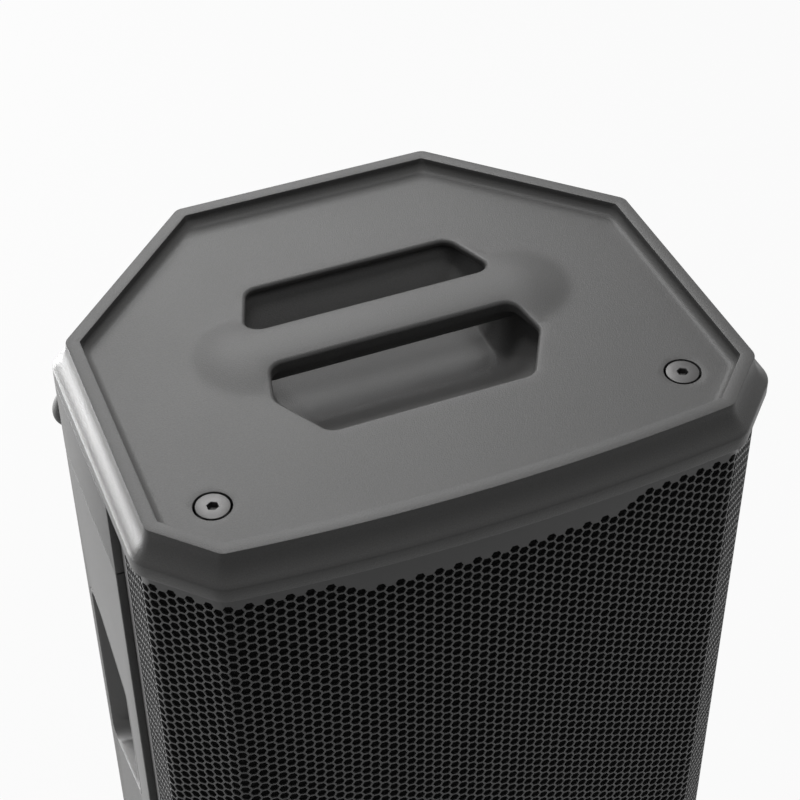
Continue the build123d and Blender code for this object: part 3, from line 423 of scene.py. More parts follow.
def wovenCloth(name):
    s = Surface(name, {"Roughness": 0.9})
    across = s.node("TexWave", {"bands_direction": "X"}, {"Vector": s.place, "Scale": 400.0})
    along = s.node("TexWave", {"bands_direction": "Z"}, {"Vector": s.place, "Scale": 400.0})
    weave = across * 0.5 + along * 0.5
    s.feed("Base Color", s.mix(weave, (0.22, 0.13, 0.05, 1), (0.5, 0.34, 0.15, 1)))
    s.feed("Normal", s.bump(weave, 0.0002))
    return s.material


def circuitBoard(name):
    s = Surface(name, {"Roughness": 0.35, "Coat Weight": 0.4})
    layout = {"Vector": s.place, "Scale": 130.0, "Mortar Size": 0.05}
    tracks = s.node("TexBrick", {"offset": 0.37}, layout, "Fac")
    s.feed("Base Color", s.mix(tracks, (0.01, 0.07, 0.03, 1), (0.03, 0.2, 0.08, 1)))
    s.feed("Normal", s.bump(tracks, 0.00004))
    return s.material


def shrinkSleeve(name, dark, light):
    s = Surface(name, {"Coat Weight": 0.3})
    wrinkle = s.noise(160, 3, (1, 6, 1))
    s.feed("Base Color", s.mix(wrinkle, dark, light))
    s.feed("Roughness", 0.25 + 0.25 * wrinkle)
    s.feed("Normal", s.bump(wrinkle, 0.0001))
    return s.material


# Scales printed round the knobs, as (inner radius, outer radius, ticks), and the rules between the sections
plateMarks = {
    "scales": {
        "gain_knob_a": (10.4, 12.6, 11),
        "gain_knob_b": (10.4, 12.6, 11),
        "encoder_knob": (16.2, 17.6, 25),
    },
    "sweep": math.radians(290),
    "tickShare": 0.13,
    "rules": [
        (nodeBox("gain_knob_a")[1].z + nodeBox("encoder_knob")[0].z) / 2,
        nodeBox("line_outputs")[0].z - 4,
        nodeBox("mains_inlet")[1].z + 6,
    ],
    "ruleReach": 72.0,
    "ruleHalf": 0.3,
    "depth": 0.2,
}


# The amplifier plate's powder coat, printed on its outer face only
def printedPlate(name, tone):
    s = Surface(name, {"IOR": 1.5, "Specular IOR Level": 0.35})
    peel = s.noise(3200, 2)
    dust = s.noise(30, 4)
    x, y, z = (s.axis(letter) * (1 / mm) for letter in "XYZ")
    marks = 0.0
    for knob, (inner, outer, count) in plateMarks["scales"].items():
        middle = nodeCentre(knob)
        across, up = x - middle.x, z - middle.z
        away = (across * across + up * up) ** 0.5
        turn = across.maths("ARCTAN2", up) * ((count - 1) / plateMarks["sweep"])
        near = (turn + 0.5).maths("FRACT") - 0.5
        tick = abs(near).below(plateMarks["tickShare"]) * away.above(inner) * away.below(outer)
        marks = marks + tick * abs(turn).below((count - 1) / 2 + 0.2)
    inside = abs(x).below(plateMarks["ruleReach"])
    for height in plateMarks["rules"]:
        marks = marks + inside * abs(z - height).below(plateMarks["ruleHalf"])
    outerFace = y.above(plateY - plateMarks["depth"])
    coat = s.mix(dust, grey(tone * 0.85), grey(tone * 1.2))
    s.feed("Base Color", s.mix(marks * outerFace, coat, grey(0.55)))
    s.feed("Roughness", 0.34 + 0.12 * dust)
    s.feed("Normal", s.bump(peel, 0.00006))
    return s.material


# A level graph on the display: bars under a wave, over a base line, in shares of the window
screen = {"width": 62.0, "height": 34.0, "bars": 24, "lit": (0.35, 0.85), "reach": 0.4, "low": -0.3}


def displayGlass(name):
    s = Surface(name, {"IOR": 1.49, "Coat Weight": 0.5, "Emission Strength": 0.8})
    middle = nodeCentre("display_window") * mm
    across = (s.axis("X") - middle.x) * (1 / (screen["width"] * mm))
    up = (s.axis("Z") - middle.z) * (1 / (screen["height"] * mm))
    bars = (across * screen["bars"]).maths("FRACT")
    column = bars.above(screen["lit"][0]) * bars.below(screen["lit"][1])
    wave = 0.25 * (across * 9).maths("SINE") + 0.02
    reach = screen["reach"]
    lit = column * up.below(wave) * up.above(screen["low"]) * across.above(-reach) * across.below(reach)
    line = up.above(-0.36) * up.below(-0.345) * across.above(-reach - 0.02) * across.below(reach + 0.02)
    haze = s.noise(60, 3)
    s.feed("Base Color", s.mix(haze, (0.006, 0.009, 0.011, 1), (0.014, 0.018, 0.02, 1)))
    s.feed("Emission Color", s.mix(lit + line, (0, 0, 0, 1), (0.25, 0.6, 0.75, 1)))
    s.feed("Roughness", 0.06 + 0.05 * haze)
    return s.material


finishes = {
    "black_plastic": mouldedPlastic("blackPlastic", 0.07),
    "recess_plastic": mouldedPlastic("recessPlastic", 0.085),
    "grille_steel": powderCoat("grilleSteel", 0.085),
    "bolt_steel": blackOxide("boltSteel"),
    "foam": openFoam("foam"),
    "rubber": softRubber("rubber"),
    "socket_plastic": mouldedPlastic("socketPlastic", 0.04),
    "baffle_wood": stainedWood("baffleWood"),
    "frame_metal": powderCoat("frameMetal", 0.03),
    "paper_cone": pulpPaper("paperCone"),
    "coil_copper": metal("coilCopper", (0.72, 0.33, 0.17), stretch=(1, 12, 1)),
    "spider_cloth": wovenCloth("spiderCloth"),
    "motor_steel": metal("motorSteel", (0.5, 0.5, 0.48), 0.38),
    "magnet": powderCoat("magnet", 0.05, 0.6),
    "titanium": metal("titanium", (0.6, 0.6, 0.62), 0.25),
    "plate_aluminium": printedPlate("plateAluminium", 0.03),
    "display_glass": displayGlass("displayGlass"),
    "knob_plastic": softRubber("knobPlastic", 0.03),
    "part_metal": metal("partMetal", (0.6, 0.6, 0.6), 0.3),
    "jack_plastic": mouldedPlastic("jackPlastic", 0.03, 2600, 0.00004, 0.32),
    "latch_metal": metal("latchMetal", (0.62, 0.62, 0.6), 0.25, (8, 1, 1)),
    "board": circuitBoard("board"),
    "capacitor_sleeve": shrinkSleeve("capacitorSleeve", (0.01, 0.01, 0.03, 1), (0.03, 0.03, 0.08, 1)),
    "transformer_tape": shrinkSleeve("transformerTape", (0.45, 0.33, 0.03, 1), (0.7, 0.55, 0.08, 1)),
}

for name, slotName in slotOf.items():
    node = nodes[name]
    if not node.material_slots:
        node.data.materials.append(None)
    for place in node.material_slots:
        place.material = finishes[slotName]
print("materials made:", len(finishes))


# Top cap: lip, cove, rim, sunk tray, two finger slots and the crowned handle between them
cap = {
    "rimInset": 10.0,
    "cove": 18.0,
    "rimBand": 8.5,
    "trayRound": 6.0,
    "trayCorner": 10.0,
    "trayGrowth": 0.3,
    "edge": 0.6,
    "deck": 4.0,
    "innerInset": 14.0,
    "cell": 4.0,
    "cellGap": 0.8,
    "slotReach": 2.5,
    "slotLip": 2.4,
    "slotCorner": 12.0,
    "frontSlot": [(-81, -3.2), (-88, -32.5), (-66, -71.55), (66, -71.55), (88, -32.5), (81, -3.2)],
    "rearSlot": [(-70, 72.95), (-87, 26.0), (87, 26.0), (70, 72.95)],
    "domeY": 11.0,
    "domeHalf": 86.0,
    "domeReach": 37.0,
    "domeHeight": 4.8,
    "domeFall": 1.25,
    "sinkRadius": 11.3,
}
boltHead = 10.0
bolts = [Vector((side * (boltHigh.x - boltHead), (boltLow.y + boltHigh.y) / 2)) for side in (-1, 1)]


# Lip, cove and rim from the cap's open edge to the top of the rim, as (inset, distance below the rim). The
# small steps ease the edges
def capProfile():
    edge, cove, rim = cap["edge"], cap["cove"], cap["rimInset"]
    radius = (rim**2 + cove**2) / (2 * rim)
    reach = math.asin(cove / radius)
    lipLow = rimZ - lipLowZ
    profile = [(cap["innerInset"], lipLow), (2 * edge, lipLow), (0.35, lipLow - 0.3), (0, lipLow - 1.2)]
    profile += [(0, cove + 1.2), (0.12, cove + 0.5)]
    for angle in spread(reach * 0.97, 0.03 * reach, 9):
        profile.append((rim - radius * (1 - math.cos(angle)), radius * math.sin(angle)))
    profile += [(rim + 0.2, 0.15), (rim + 0.8, 0)]
    return profile


# How far the deck swells up over the ends of the handle and along it
def domeHeight(x, y):
    away = math.hypot(max(abs(x) - cap["domeHalf"], 0), y - cap["domeY"]) / cap["domeReach"]
    return cap["domeHeight"] * (1 - min(away, 1) ** 2) ** cap["domeFall"]


def onDeck(points, drop=0.0):
    return [Vector((p.x, p.y, trayZ + domeHeight(p.x, p.y) - drop)) for p in points]


# A finger slot's rounded lip, and its wall down to the deck's underside
def slotRings(corners):
    lip, corner = cap["slotLip"], cap["slotCorner"]
    rings = []
    for angle in spread(0, math.pi / 2, 5):
        outline = roundedOutline(corners, corner - lip * math.sin(angle), lip * math.sin(angle), 7)
        rings.append(onDeck(outline, lip * (1 - math.cos(angle))))
    last = roundedOutline(corners, corner - lip, lip, 7)
    rings.append([Vector((p.x, p.y, trayZ - cap["deck"])) for p in last])
    return rings


def makeTopCap():
    bm = bmesh.new()
    rings = [planRing(inset, rimZ - drop) for inset, drop in capProfile()]
    inner = cap["rimInset"] + cap["rimBand"]
    rings += [planRing(inner - 0.6, rimZ), planRing(inner - 0.15, rimZ - 0.15), planRing(inner, rimZ - 0.6)]
    wall = cap["trayRound"]
    for angle in spread(0, math.pi / 2, 7):
        inset = inner + wall * (1 - math.cos(angle))
        corner = cap["trayCorner"] + wall * cap["trayGrowth"] * math.sin(angle)
        rings.append(planRing(inset, trayZ + wall * (1 - math.sin(angle)), corner))
    lowEdges, trayEdges = loft(bm, rings)
    trayInset = inner + wall

    # openings: the two slots and the two countersinks, each ring running down to the deck's underside
    corners = planCorners()
    openings = []
    for name in ("frontSlot", "rearSlot"):
        shape = [Vector(p) for p in cap[name]]
        top, bottom = loft(bm, slotRings(shape))
        openings.append((lambda p, shape=shape: clearance(shape, p), top, bottom))
    for bolt in bolts:
        sink = cap["sinkRadius"]
        drops = [(sink + 0.4, 0), (sink + 0.1, 0.1), (sink, 0.4), (sink, cap["deck"])]
        top, bottom = loft(bm, [circle(bolt.x, bolt.y, trayZ - drop, r) for r, drop in drops])
        openings.append((lambda p, bolt=bolt, sink=sink: (p - bolt).length - sink, top, bottom))

    # the deck: a grid kept clear of the wall and the openings, then joined to their edges
    cell = cap["cell"]
    spanX, spanY = halfWidth - trayInset, (rearY - frontY) / 2 - trayInset
    countX, countY = round(2 * spanX / cell), round(2 * spanY / cell)
    grid = bmesh.ops.create_grid(bm, x_segments=countX, y_segments=countY, size=0.5)["verts"]
    bmesh.ops.scale(bm, vec=(2 * spanX, 2 * spanY, 1), verts=grid)
    walls = [lambda p: -clearance(corners, p) - trayInset] + [opening[0] for opening in openings]
    gone = [v for v in grid if min(gap(v.co.xy) for gap in walls) < cell * cap["cellGap"]]
    bmesh.ops.delete(bm, geom=gone, context="VERTS")
    grid = [v for v in grid if v.is_valid]
    for vert in grid:
        vert.co.z = trayZ + domeHeight(vert.co.x, vert.co.y)
    loose = [e for v in grid for e in v.link_edges if not e.link_faces]
    bmesh.ops.delete(bm, geom=list(set(loose)), context="EDGES")
    grid = [v for v in grid if v.is_valid]
    borders = {e for v in grid for e in v.link_edges if len(e.link_faces) == 1}
    outer, slots = list(trayEdges), openings[:2]
    rims = [list(slot[1]) for slot in slots]
    for edge in borders:
        middle = (edge.verts[0].co.xy + edge.verts[1].co.xy) / 2
        near = [rim for rim, slot in zip(rims, slots) if slot[0](middle) < cap["slotReach"] * cell]
        (near[0] if near else outer).append(edge)
    for opening in openings[2:]:
        outer += opening[1]
    for edges in [outer] + rims:
        fillBetween(bm, edges)

    # the underside
    underEdges = carryTo(bm, lowEdges, trayZ - cap["deck"])
    fillBetween(bm, underEdges + [e for opening in openings for e in opening[2]], (0, 0, -1))
    return finishPiece(bm, "topCap", "black_plastic", stands=["top_cap"])


topCap = makeTopCap()
print("top cap made:", len(topCap.data.polygons))

# The handle's bar under the deck: a rounded beam between the slots
bar = {"front": -0.8, "back": 23.6, "drop": 18.0, "round": 7.0, "half": 97.0}


def makeHandleBar():
    bm = bmesh.new()
    top, low, radius = trayZ - cap["deck"], trayZ - bar["drop"], bar["round"]
    section = [(bar["front"], top)]
    for angle in spread(math.pi, 1.5 * math.pi, 6):
        section.append((bar["front"] + radius * (1 + math.cos(angle)), low + radius * (1 + math.sin(angle))))
    for angle in spread(1.5 * math.pi, 2 * math.pi, 6):
        section.append((bar["back"] - radius * (1 - math.cos(angle)), low + radius * (1 + math.sin(angle))))
    section.append((bar["back"], top))
    rings = [[Vector((x, y, z)) for y, z in section] for x in spread(-bar["half"], bar["half"], 8)]
    loft(bm, rings, True, True)
    return finishPiece(bm, "handleBar", "black_plastic")


makeHandleBar()

# Handle pocket: a smooth scoop, long and gentle at the front, steeper at the back and the ends
scoop = {
    "halfX": 93.0,
    "near": -76.5,
    "away": 78.0,
    "slopeFront": 62.0,
    "slopeSide": 22.0,
    "slopeRear": 34.0,
    "corner": 16.0,
    "cornerGrowth": 7.0,
    "wall": 2.6,
    "flange": 8.0,
    "gap": 0.05,
}
# The slope as (share of the way in, share of the depth)
scoopRuns = [(0, 0), (0.22, 0.25), (0.44, 0.5), (0.62, 0.7), (0.74, 0.82)]
scoopRuns += [(0.84, 0.9), (0.92, 0.955), (0.97, 0.985), (1.04, 1.0)]


def makePocket():
    bm = bmesh.new()
    top = trayZ - cap["deck"] - scoop["gap"]
    depth = top - nodeBox("handle_pocket")[0].z - scoop["wall"]

    def ring(share, down, grow=0.0):
        halfX = scoop["halfX"] - scoop["slopeSide"] * share + grow
        near = scoop["near"] + scoop["slopeFront"] * share - grow
        away = scoop["away"] - scoop["slopeRear"] * share + grow
        shape = [Vector(p) for p in ((-halfX, near), (halfX, near), (halfX, away), (-halfX, away))]
        outline = roundedOutline(shape, scoop["corner"] + scoop["cornerGrowth"] * share, 0, 8)
        return [Vector((p.x, p.y, top - depth * down)) for p in outline]

    rings = [ring(0, 0, scoop["flange"])] + [ring(share, down) for share, down in scoopRuns]
    loft(bm, rings, False, True)
    bmesh.ops.recalc_face_normals(bm, faces=bm.faces)
    middle = next(f for f in bm.faces if len(f.verts) > 4)
    if middle.normal.z < 0:
        bmesh.ops.reverse_faces(bm, faces=bm.faces)
    bmesh.ops.solidify(bm, geom=bm.faces[:], thickness=scoop["wall"])
    return finishPiece(bm, "handlePocket", "recess_plastic", stands=["handle_pocket"], smooth=50)


makePocket()
print("handle made")

# Countersunk socket screws
screw = {
    "chamfer": 0.5,
    "edge": 0.15,
    "cone": 5.0,
    "shank": 5.0,
    "socket": 6.0,
    "socketLip": 0.4,
    "socketDepth": 4.2,
    "drillTip": 1.2,
}


# A ring whose points run along a hexagon, so that it joins a circle of as many points
def hexagonRing(x, y, z, flats, count=48):
    points = []
    for a in spread(0, 2 * math.pi, count)[:-1]:
        turn = (a + math.pi / 6) % (math.pi / 3) - math.pi / 6
        reach = flats / 2 / math.cos(turn)
        points.append(Vector((x + reach * math.cos(a), y + reach * math.sin(a), z)))
    return points


def makeTopBolts():
    bm = bmesh.new()
    head, chamfer, edge, shank = boltHead, screw["chamfer"], screw["edge"], screw["shank"]
    outside = [(boltLow.z, shank - 1), (boltLow.z + 1, shank), (trayZ - screw["cone"], shank)]
    outside += [(trayZ - chamfer, head), (trayZ - edge, head - edge), (trayZ, head - chamfer)]
    flats, lip, floor = screw["socket"], screw["socketLip"], trayZ - screw["socketDepth"]
    inside = [(trayZ, flats + 0.5), (trayZ - lip, flats), (floor, flats)]
    for x, y in bolts:
        rings = [circle(x, y, z, radius) for z, radius in outside]
        rings += [hexagonRing(x, y, z, across) for z, across in inside]
        rings.append(circle(x, y, floor - screw["drillTip"], 0.4))
        loft(bm, rings, True, True)
    return finishPiece(bm, "topBolts", "bolt_steel", stands=["top_bolts"])


makeTopBolts()
print("bolts made")

# Grille: a sheet of hexagonal cells, pierced, thickened, then bent round the plan. The edges left plain are
# heights, and lengths along the sheet from its middle
sheet = {
    "inset": 5.0,
    "thickness": 1.2,
    "pitchAcross": 5.8,
    "web": 0.62,
    "edgeY": grilleHigh.y,
    "topPlain": [(0, 615.3), (75.5, 615.3), (93.3, 625.3), (400, 625.3)],
    "topSlack": 0.6,
    "bottomPlain": 51.0,
    "endPlain": 3.4,
}


def grillePath():
    ring = roundedOutline(planCorners(), plan["corner"] - sheet["inset"], sheet["inset"], 10)
    path = [Vector((0, frontY + sheet["inset"]))]
    for point in ring[plan["bowSteps"] // 2:]:
        if point.x <= 0.01:
            continue
        if point.y > sheet["edgeY"]:
            before = path[-1]
            path.append(before.lerp(point, (sheet["edgeY"] - before.y) / (point.y - before.y)))
            break
        path.append(point)
    return path


# Height up to which the sheet is pierced, at a length from its middle
def topLimit(along):
    for (a, za), (b, zb) in zip(sheet["topPlain"], sheet["topPlain"][1:]):
        if abs(along) <= b:
            return za + (zb - za) * (abs(along) - a) / (b - a)
    return za


# Cuts everything off beyond a plane
def trim(bm, place, normal):
    geom = bm.verts[:] + bm.edges[:] + bm.faces[:]
    bmesh.ops.bisect_plane(bm, geom=geom, plane_co=place, plane_no=normal, clear_outer=True, dist=0.001)


# The flat sheet, with x along it, y up and z its thickness: cells are repeated, and those in the field opened
def piercedSheet(end):
    pitch = sheet["pitchAcross"]
    radius = pitch / 1.5
    pitchUp = radius * math.sqrt(3)
    bm = bmesh.new()
    cell = bmesh.ops.create_circle(bm, cap_ends=True, segments=6, radius=radius)["verts"][0].link_faces[0]
    corner = bm.verts[:][0].co
    turn = Matrix.Rotation(-math.atan2(corner.y, corner.x), 3, "Z")
    bmesh.ops.rotate(bm, cent=(0, 0, 0), matrix=turn, verts=bm.verts)
    web = sheet["web"]
    bmesh.ops.inset_region(bm, faces=[cell], thickness=web, use_even_offset=True, use_boundary=True)

    def repeat(shift, copies):
        start = bm.verts[:] + bm.edges[:] + bm.faces[:]
        for number in range(1, copies):
            made = bmesh.ops.duplicate(bm, geom=start)["geom"]
            moved = [g for g in made if isinstance(g, bmesh.types.BMVert)]
            bmesh.ops.translate(bm, vec=Vector(shift) * number, verts=moved)

    block = 8  # cells are doubled up to blocks of eight by eight, and the blocks repeated
    rows = math.ceil((grilleHigh.z - grilleLow.z) / pitchUp) + 2
    columns = math.ceil(2 * end / pitch / 2) + 1
    repeat((pitch, pitchUp / 2, 0), 2)
    repeat((0, pitchUp, 0), block)
    repeat((0, block * pitchUp, 0), math.ceil(rows / block))
    repeat((2 * pitch, 0, 0), block)
    repeat((2 * block * pitch, 0, 0), math.ceil(columns / block))
    bmesh.ops.remove_doubles(bm, verts=bm.verts, dist=0.01)
    firstColumn = -2 * math.ceil(columns / 2) * pitch
    topRow = sheet["topPlain"][0][1]
    rowShift = topRow - math.ceil((topRow - grilleLow.z) / pitchUp + 1) * pitchUp
    bmesh.ops.translate(bm, vec=(firstColumn, rowShift, 0), verts=bm.verts)

    holes = []
    for face in bm.faces:
        along, z, _ = face.calc_center_median()
        inField = sheet["bottomPlain"] < z < topLimit(along) + sheet["topSlack"]
        if len(face.verts) == 6 and inField and abs(along) < end - sheet["endPlain"] - radius:
            holes.append(face)
    bmesh.ops.delete(bm, geom=holes, context="FACES_ONLY")
    cuts = [((end, 0, 0), (1, 0, 0)), ((-end, 0, 0), (-1, 0, 0))]
    cuts += [((0, grilleHigh.z, 0), (0, 1, 0)), ((0, grilleLow.z, 0), (0, -1, 0))]
    for place, normal in cuts:
        trim(bm, place, normal)
    return bm


def makeGrille():
    path = grillePath()
    lengths = [0.0]
    for here, after in zip(path, path[1:]):
        lengths.append(lengths[-1] + (after - here).length)

    def bent(along, depth):
        place = min(max(bisect_right(lengths, abs(along)) - 1, 0), len(path) - 2)
        step = (path[place + 1] - path[place]).normalized()
        point = path[place] + step * (abs(along) - lengths[place]) + depth * Vector((-step.y, step.x))
        return point.x * (1 if along > 0 else -1), point.y

    flat = piercedSheet(lengths[-1])
    nearly = 1e-6  # keeps the points on the middle line on their own half
    for name, side in (("grilleLeft", -1), ("grilleRight", 1)):
        half = flat.copy()
        trim(half, (0, 0, 0), (-side, 0, 0))
        bmesh.ops.solidify(half, geom=half.faces[:], thickness=sheet["thickness"])
        deepest = min(v.co.z for v in half.verts)
        for vert in half.verts:
            along, z, depth = vert.co
            x, y = bent(along if abs(along) > nearly else side * nearly, depth - deepest)
            vert.co = (x, y, z)
        finishPiece(half, name, "grille_steel", stands=["grille"], smooth=20)
        print(name, "made")
    flat.free()


makeGrille()

# Bottom cap: the same lip and cove turned over, with the pole socket's seat and six counterbores underneath
base = {
    "floor": 8.0,
    "poleSeat": 36.3,
    "poleSeatDepth": 4.0,
    "poleHole": 22.55,
    "counterbore": 4.3,
    "screwX": 120.0,
    "screwRows": (-60.0, 10.0, 80.0),
}


def makeBottomCap():
    bm = bmesh.new()
    rings = [planRing(inset, footZ + drop) for inset, drop in capProfile()]
    innerEdges, faceEdges = loft(bm, rings)
    low, high = list(faceEdges), []

    # the pole's seat and the screws' counterbores, as (x, y, points, (radius, height) pairs)
    seat, sunk, hole = base["poleSeat"], base["poleSeatDepth"], base["poleHole"]
    bore, floor = base["counterbore"], base["floor"]
    poleSteps = [(seat, 0), (seat, sunk), (hole, sunk), (hole, floor)]
    screwSteps = [(bore + 0.4, 0), (bore, 0.4), (bore, floor)]
    sinks = [(0, nodeCentre("pole_socket").y, 64, poleSteps)]
    sinks += [(side * base["screwX"], y, 24, screwSteps) for side in (-1, 1) for y in base["screwRows"]]
    for x, y, count, steps in sinks:
        first, last = loft(bm, [circle(x, y, footZ + up, radius, count) for radius, up in steps])
        low += first
        high += last
    high += carryTo(bm, innerEdges, footZ + floor)
    fillBetween(bm, low, (0, 0, -1))
    fillBetween(bm, high)
    return finishPiece(bm, "bottomCap", "black_plastic", stands=["bottom_cap"])


makeBottomCap()
print("bottom cap made")

# Rubber feet under the bottom cap, each with a screw hole
foot = {
    "radius": 18.0,
    "edge": 1.6,
    "groove": (12.5, 10.5, 0.9),  # outer radius, inner radius and depth of a ring under the foot
    "hole": 4.5,
    "holeDepth": 6.5,
    "spots": [(-135, -100), (135, -100), (-80, 115), (80, 115)],
}


def makeFeet():
    bm = bmesh.new()
    radius, edge, hole, floor = foot["radius"], foot["edge"], foot["hole"], foot["holeDepth"]
    outer, inner, depth = foot["groove"]
    profile = [(footZ, radius - 1), (footZ, radius), (edge + 1.4, radius)]
    for angle in spread(0, math.pi / 2, 4):
        profile.append((edge * (1 - math.sin(angle)), radius - edge * (1 - math.cos(angle))))
    profile += [(0, outer), (depth, outer - 0.4), (depth, inner + 0.4), (0, inner)]
    profile += [(0, hole + 0.8), (0.6, hole), (floor, hole), (floor, 0.3)]
    for x, y in foot["spots"]:
        loft(bm, [circle(x, y, z, reach, 64) for z, reach in profile], True, True)
    return finishPiece(bm, "bottomFeet", "rubber", stands=["bottom_feet"])


makeFeet()

# Pieces that keep their node's shape get their sharp edges rounded, as (width, angle that still shades
# smooth). Flat pieces take the small angle, so that their faces stay flat
sharpTurn = math.radians(40)
roundings = {
    "side_panel_left": (0.7, 22),
    "side_panel_right": (0.7, 22),
    "shoulder_band": (0.7, 22),
    "handle_cup_left": (0.6, 22),
    "handle_cup_right": (0.6, 22),
    "amp_plate": (0.4, 8),
    "heatsink": (0.35, 8),
    "display_window": (0.3, 8),
    "combo_jacks": (0.35, 8),
    "line_outputs": (0.35, 8),
    "mains_inlet": (0.4, 8),
    "fuse_drawer": (0.3, 8),
    "switch_housing": (0.4, 8),
    "switch_rocker": (0.5, 8),
    "latch_tab_a": (0.4, 8),
    "latch_tab_b": (0.4, 8),
    "pole_socket": (0.5, 22),
    "encoder_body": (0.2, 22),
    "horn": (0.6, 22),
    "woofer_frame": (0.5, 22),
    "port_tubes": (0.5, 22),
}


def softened(node, width, smooth):
    bm = bmesh.new()
    bm.from_mesh(nodes[node].data)
    bmesh.ops.scale(bm, vec=(1 / mm, 1 / mm, 1 / mm), verts=bm.verts)
    bmesh.ops.remove_doubles(bm, verts=bm.verts, dist=0.004)
    sharp = [e for e in bm.edges if len(e.link_faces) == 2 and e.calc_face_angle() > sharpTurn]
    bmesh.ops.bevel(bm, geom=sharp, offset=width, segments=2, profile=0.5, affect="EDGES", material=-1)
    return finishPiece(bm, pieceName(node), slotOf[node], bodyOf[node], [node], smooth, tidy=False)


for node, (width, smooth) in roundings.items():
    softened(node, width, smooth)
print("edges rounded:", len(roundings))


# A ring about a front-to-back axis; flutes cut a wavy grip into it
def ringAlongY(x, y, z, radius, count=48, flutes=0, cut=0.0):
    points = []
    for angle in spread(0, 2 * math.pi, count)[:-1]:
        reach = radius - cut * (0.5 + 0.5 * math.cos(flutes * angle)) ** 2
        points.append(Vector((x + reach * math.sin(angle), y, z + reach * math.cos(angle))))
    return points


# The dimple is (height above the middle, reach, depth)
knobs = {
    "encoder_knob": {"height": 9.0, "shaft": 3.0, "flutes": 24, "cut": 0.7, "dimple": (9.0, 3.2, 1.3)},
    "gain_knob_a": {"height": 10.0, "shaft": 3.0, "flutes": 16, "cut": 0.6, "dimple": (4.4, 1.7, 1.0)},
    "gain_knob_b": {"height": 10.0, "shaft": 3.0, "flutes": 16, "cut": 0.6, "dimple": (4.4, 1.7, 1.0)},
}


def makeKnob(node, sizes):
    low, high = nodeBox(node)
    x, _, z = nodeCentre(node)
    radius, front, back = (high.x - low.x) / 2, high.y - sizes["height"], high.y
    shaft, flutes, cut = sizes["shaft"], sizes["flutes"], sizes["cut"]
    count = 6 * flutes
    plain = [(low.y, shaft), (front, shaft)]
    plain += [(front, radius - 0.8), (front + 0.8, radius), (front + 1.8, radius)]
    rings = [ringAlongY(x, y, z, reach, count) for y, reach in plain]
    for y, inward, depth in ((front + 2.4, 0, cut), (back - 1.8, 0.5, cut), (back - 1.0, 0.8, cut * 0.4)):
        rings.append(ringAlongY(x, y, z, radius - inward, count, flutes, depth))
    rings.append(ringAlongY(x, back - 0.3, z, radius - 1.3, count))
    for share in spread(0.84, 0.04, 16):  # the face is crowned by half a millimetre
        rings.append(ringAlongY(x, back - 0.5 * (1 - share), z, radius * share, count))
    bm = bmesh.new()
    loft(bm, rings, True, True)
    lift, reach, depth = sizes["dimple"]
    for vert in bm.verts:
        away = math.hypot(vert.co.x - x, vert.co.z - z - lift) / reach
        if vert.co.y > back - 0.6 and away < 1:
            vert.co.y -= depth * (1 - away**2)
    return finishPiece(bm, pieceName(node), slotOf[node], bodyOf[node], [node], smooth=40)


for node, sizes in knobs.items():
    makeKnob(node, sizes)

# Button-head screws round the amplifier plate
plateScrew = {"head": 3.4, "height": 2.2, "shank": 1.5, "socket": 2.5, "depth": 1.5, "perSide": 5}


def makePlateScrews():
    low, high = nodeBox("plate_screws")
    head, shank, flats, top = plateScrew["head"], plateScrew["shank"], plateScrew["socket"], high.y
    under = top - plateScrew["height"]
    profile = [(low.y, shank), (under, shank), (under, head), (under + 0.5, head)]
    profile += [(top - 0.9, head - 0.5), (top - 0.25, head - 1.3), (top, head - 1.8)]
    late = 7  # the hexagon's points start this much later than those of the round rings
    bm = bmesh.new()
    for x in (low.x + head, high.x - head):
        for z in spread(low.z + head, high.z - head, plateScrew["perSide"] - 1):
            rings = [ringAlongY(x, y, z, reach, 24) for y, reach in profile]
            for y in (top, top - plateScrew["depth"]):
                ring = [Vector((p.x, y, p.y)) for p in hexagonRing(x, z, 0, flats, 24)][::-1]
                rings.append(ring[-late:] + ring[:-late])
            loft(bm, rings, True, True)
    return finishPiece(bm, "plateScrews", "bolt_steel", stands=["plate_screws"])


makePlateScrews()
print("plate fittings made")

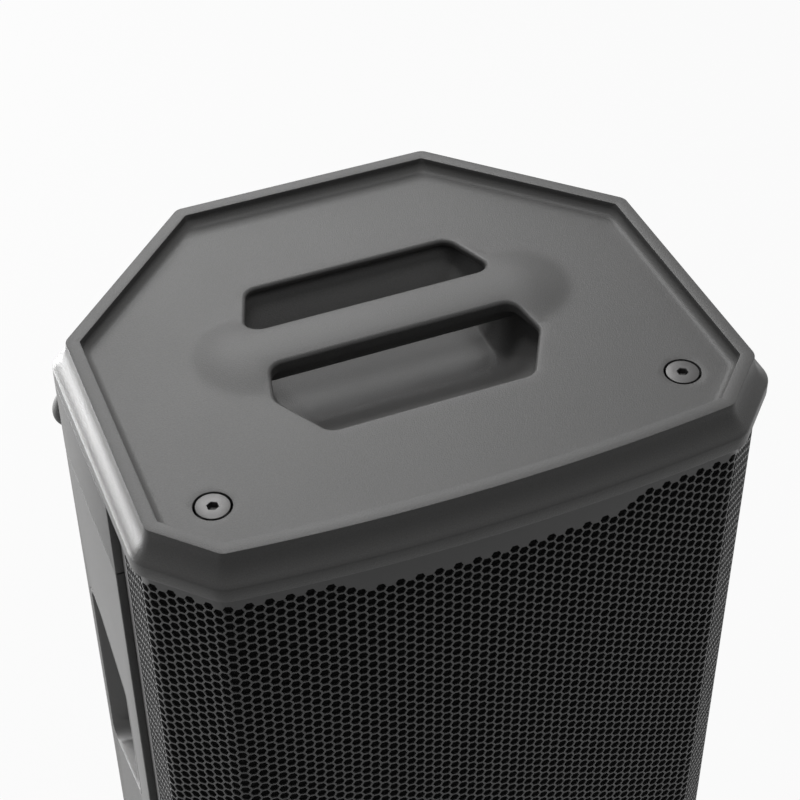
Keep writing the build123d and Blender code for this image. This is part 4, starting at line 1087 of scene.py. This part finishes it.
# Floor, backdrop and lights. Each lamp is (place, target, size, power)
studio = {"floor": (0.3, 0.3, 0.3, 1), "floorRadius": 6.0, "seen": 0.94, "world": 0.1}
lamps = {
    "leftPanel": ((-1.45, 1.95, 0.32), (0, 0, 0.32), (2.4, 0.5), 135),
    "backPanel": ((0.2, 1.5, 2.0), (0, 0, 0.65), (1.0, 1.0), 28),
    "topPanel": ((-0.1, 0.3, 2.3), (0, 0, 0.65), (0.5, 0.5), 12),
}


def makeFloor():
    bm = bmesh.new()
    bmesh.ops.create_circle(bm, cap_ends=True, segments=96, radius=studio["floorRadius"])
    mesh = bpy.data.meshes.new("floor")
    bm.to_mesh(mesh)
    bm.free()
    floor = bpy.data.objects.new("floor", mesh)
    scene.collection.objects.link(floor)
    s = Surface("floor", {"Base Color": studio["floor"], "Roughness": 0.9})
    bare, glow = Value(s, s.shader.outputs[0]), s.node("Emission", {}, {})
    blend = s.node("MixShader", {}, {0: s.seen() * studio["seen"], 1: bare, 2: glow})
    s.tree.links.new(blend.socket, s.tree.nodes["Material Output"].inputs["Surface"])
    mesh.materials.append(s.material)


def makeWorld():
    world = bpy.data.worlds.new("studio")
    scene.world = world
    world.use_nodes = True
    sky = Graph(world.node_tree)
    background = sky.tree.nodes["Background"]
    background.inputs["Color"].default_value = (1, 1, 1, 1)
    background.inputs["Strength"].default_value = studio["world"]
    dim = Value(sky, background.outputs[0])
    white = sky.node("Background", {}, {"Color": (1, 1, 1, 1)})
    blend = sky.node("MixShader", {}, {0: sky.seen(), 1: dim, 2: white})
    sky.tree.links.new(blend.socket, sky.tree.nodes["World Output"].inputs["Surface"])


def makeLamps():
    for name, (place, target, size, power) in lamps.items():
        data = bpy.data.lights.new(name, "AREA")
        data.shape = "RECTANGLE"
        data.size, data.size_y = size
        data.energy = power
        lamp = bpy.data.objects.new(name, data)
        lamp.location = place
        lamp.rotation_euler = (Vector(target) - Vector(place)).to_track_quat("-Z", "Y").to_euler()
        scene.collection.objects.link(lamp)


makeFloor()
makeWorld()
makeLamps()
scene.view_settings.view_transform = "Standard"
print("studio made")
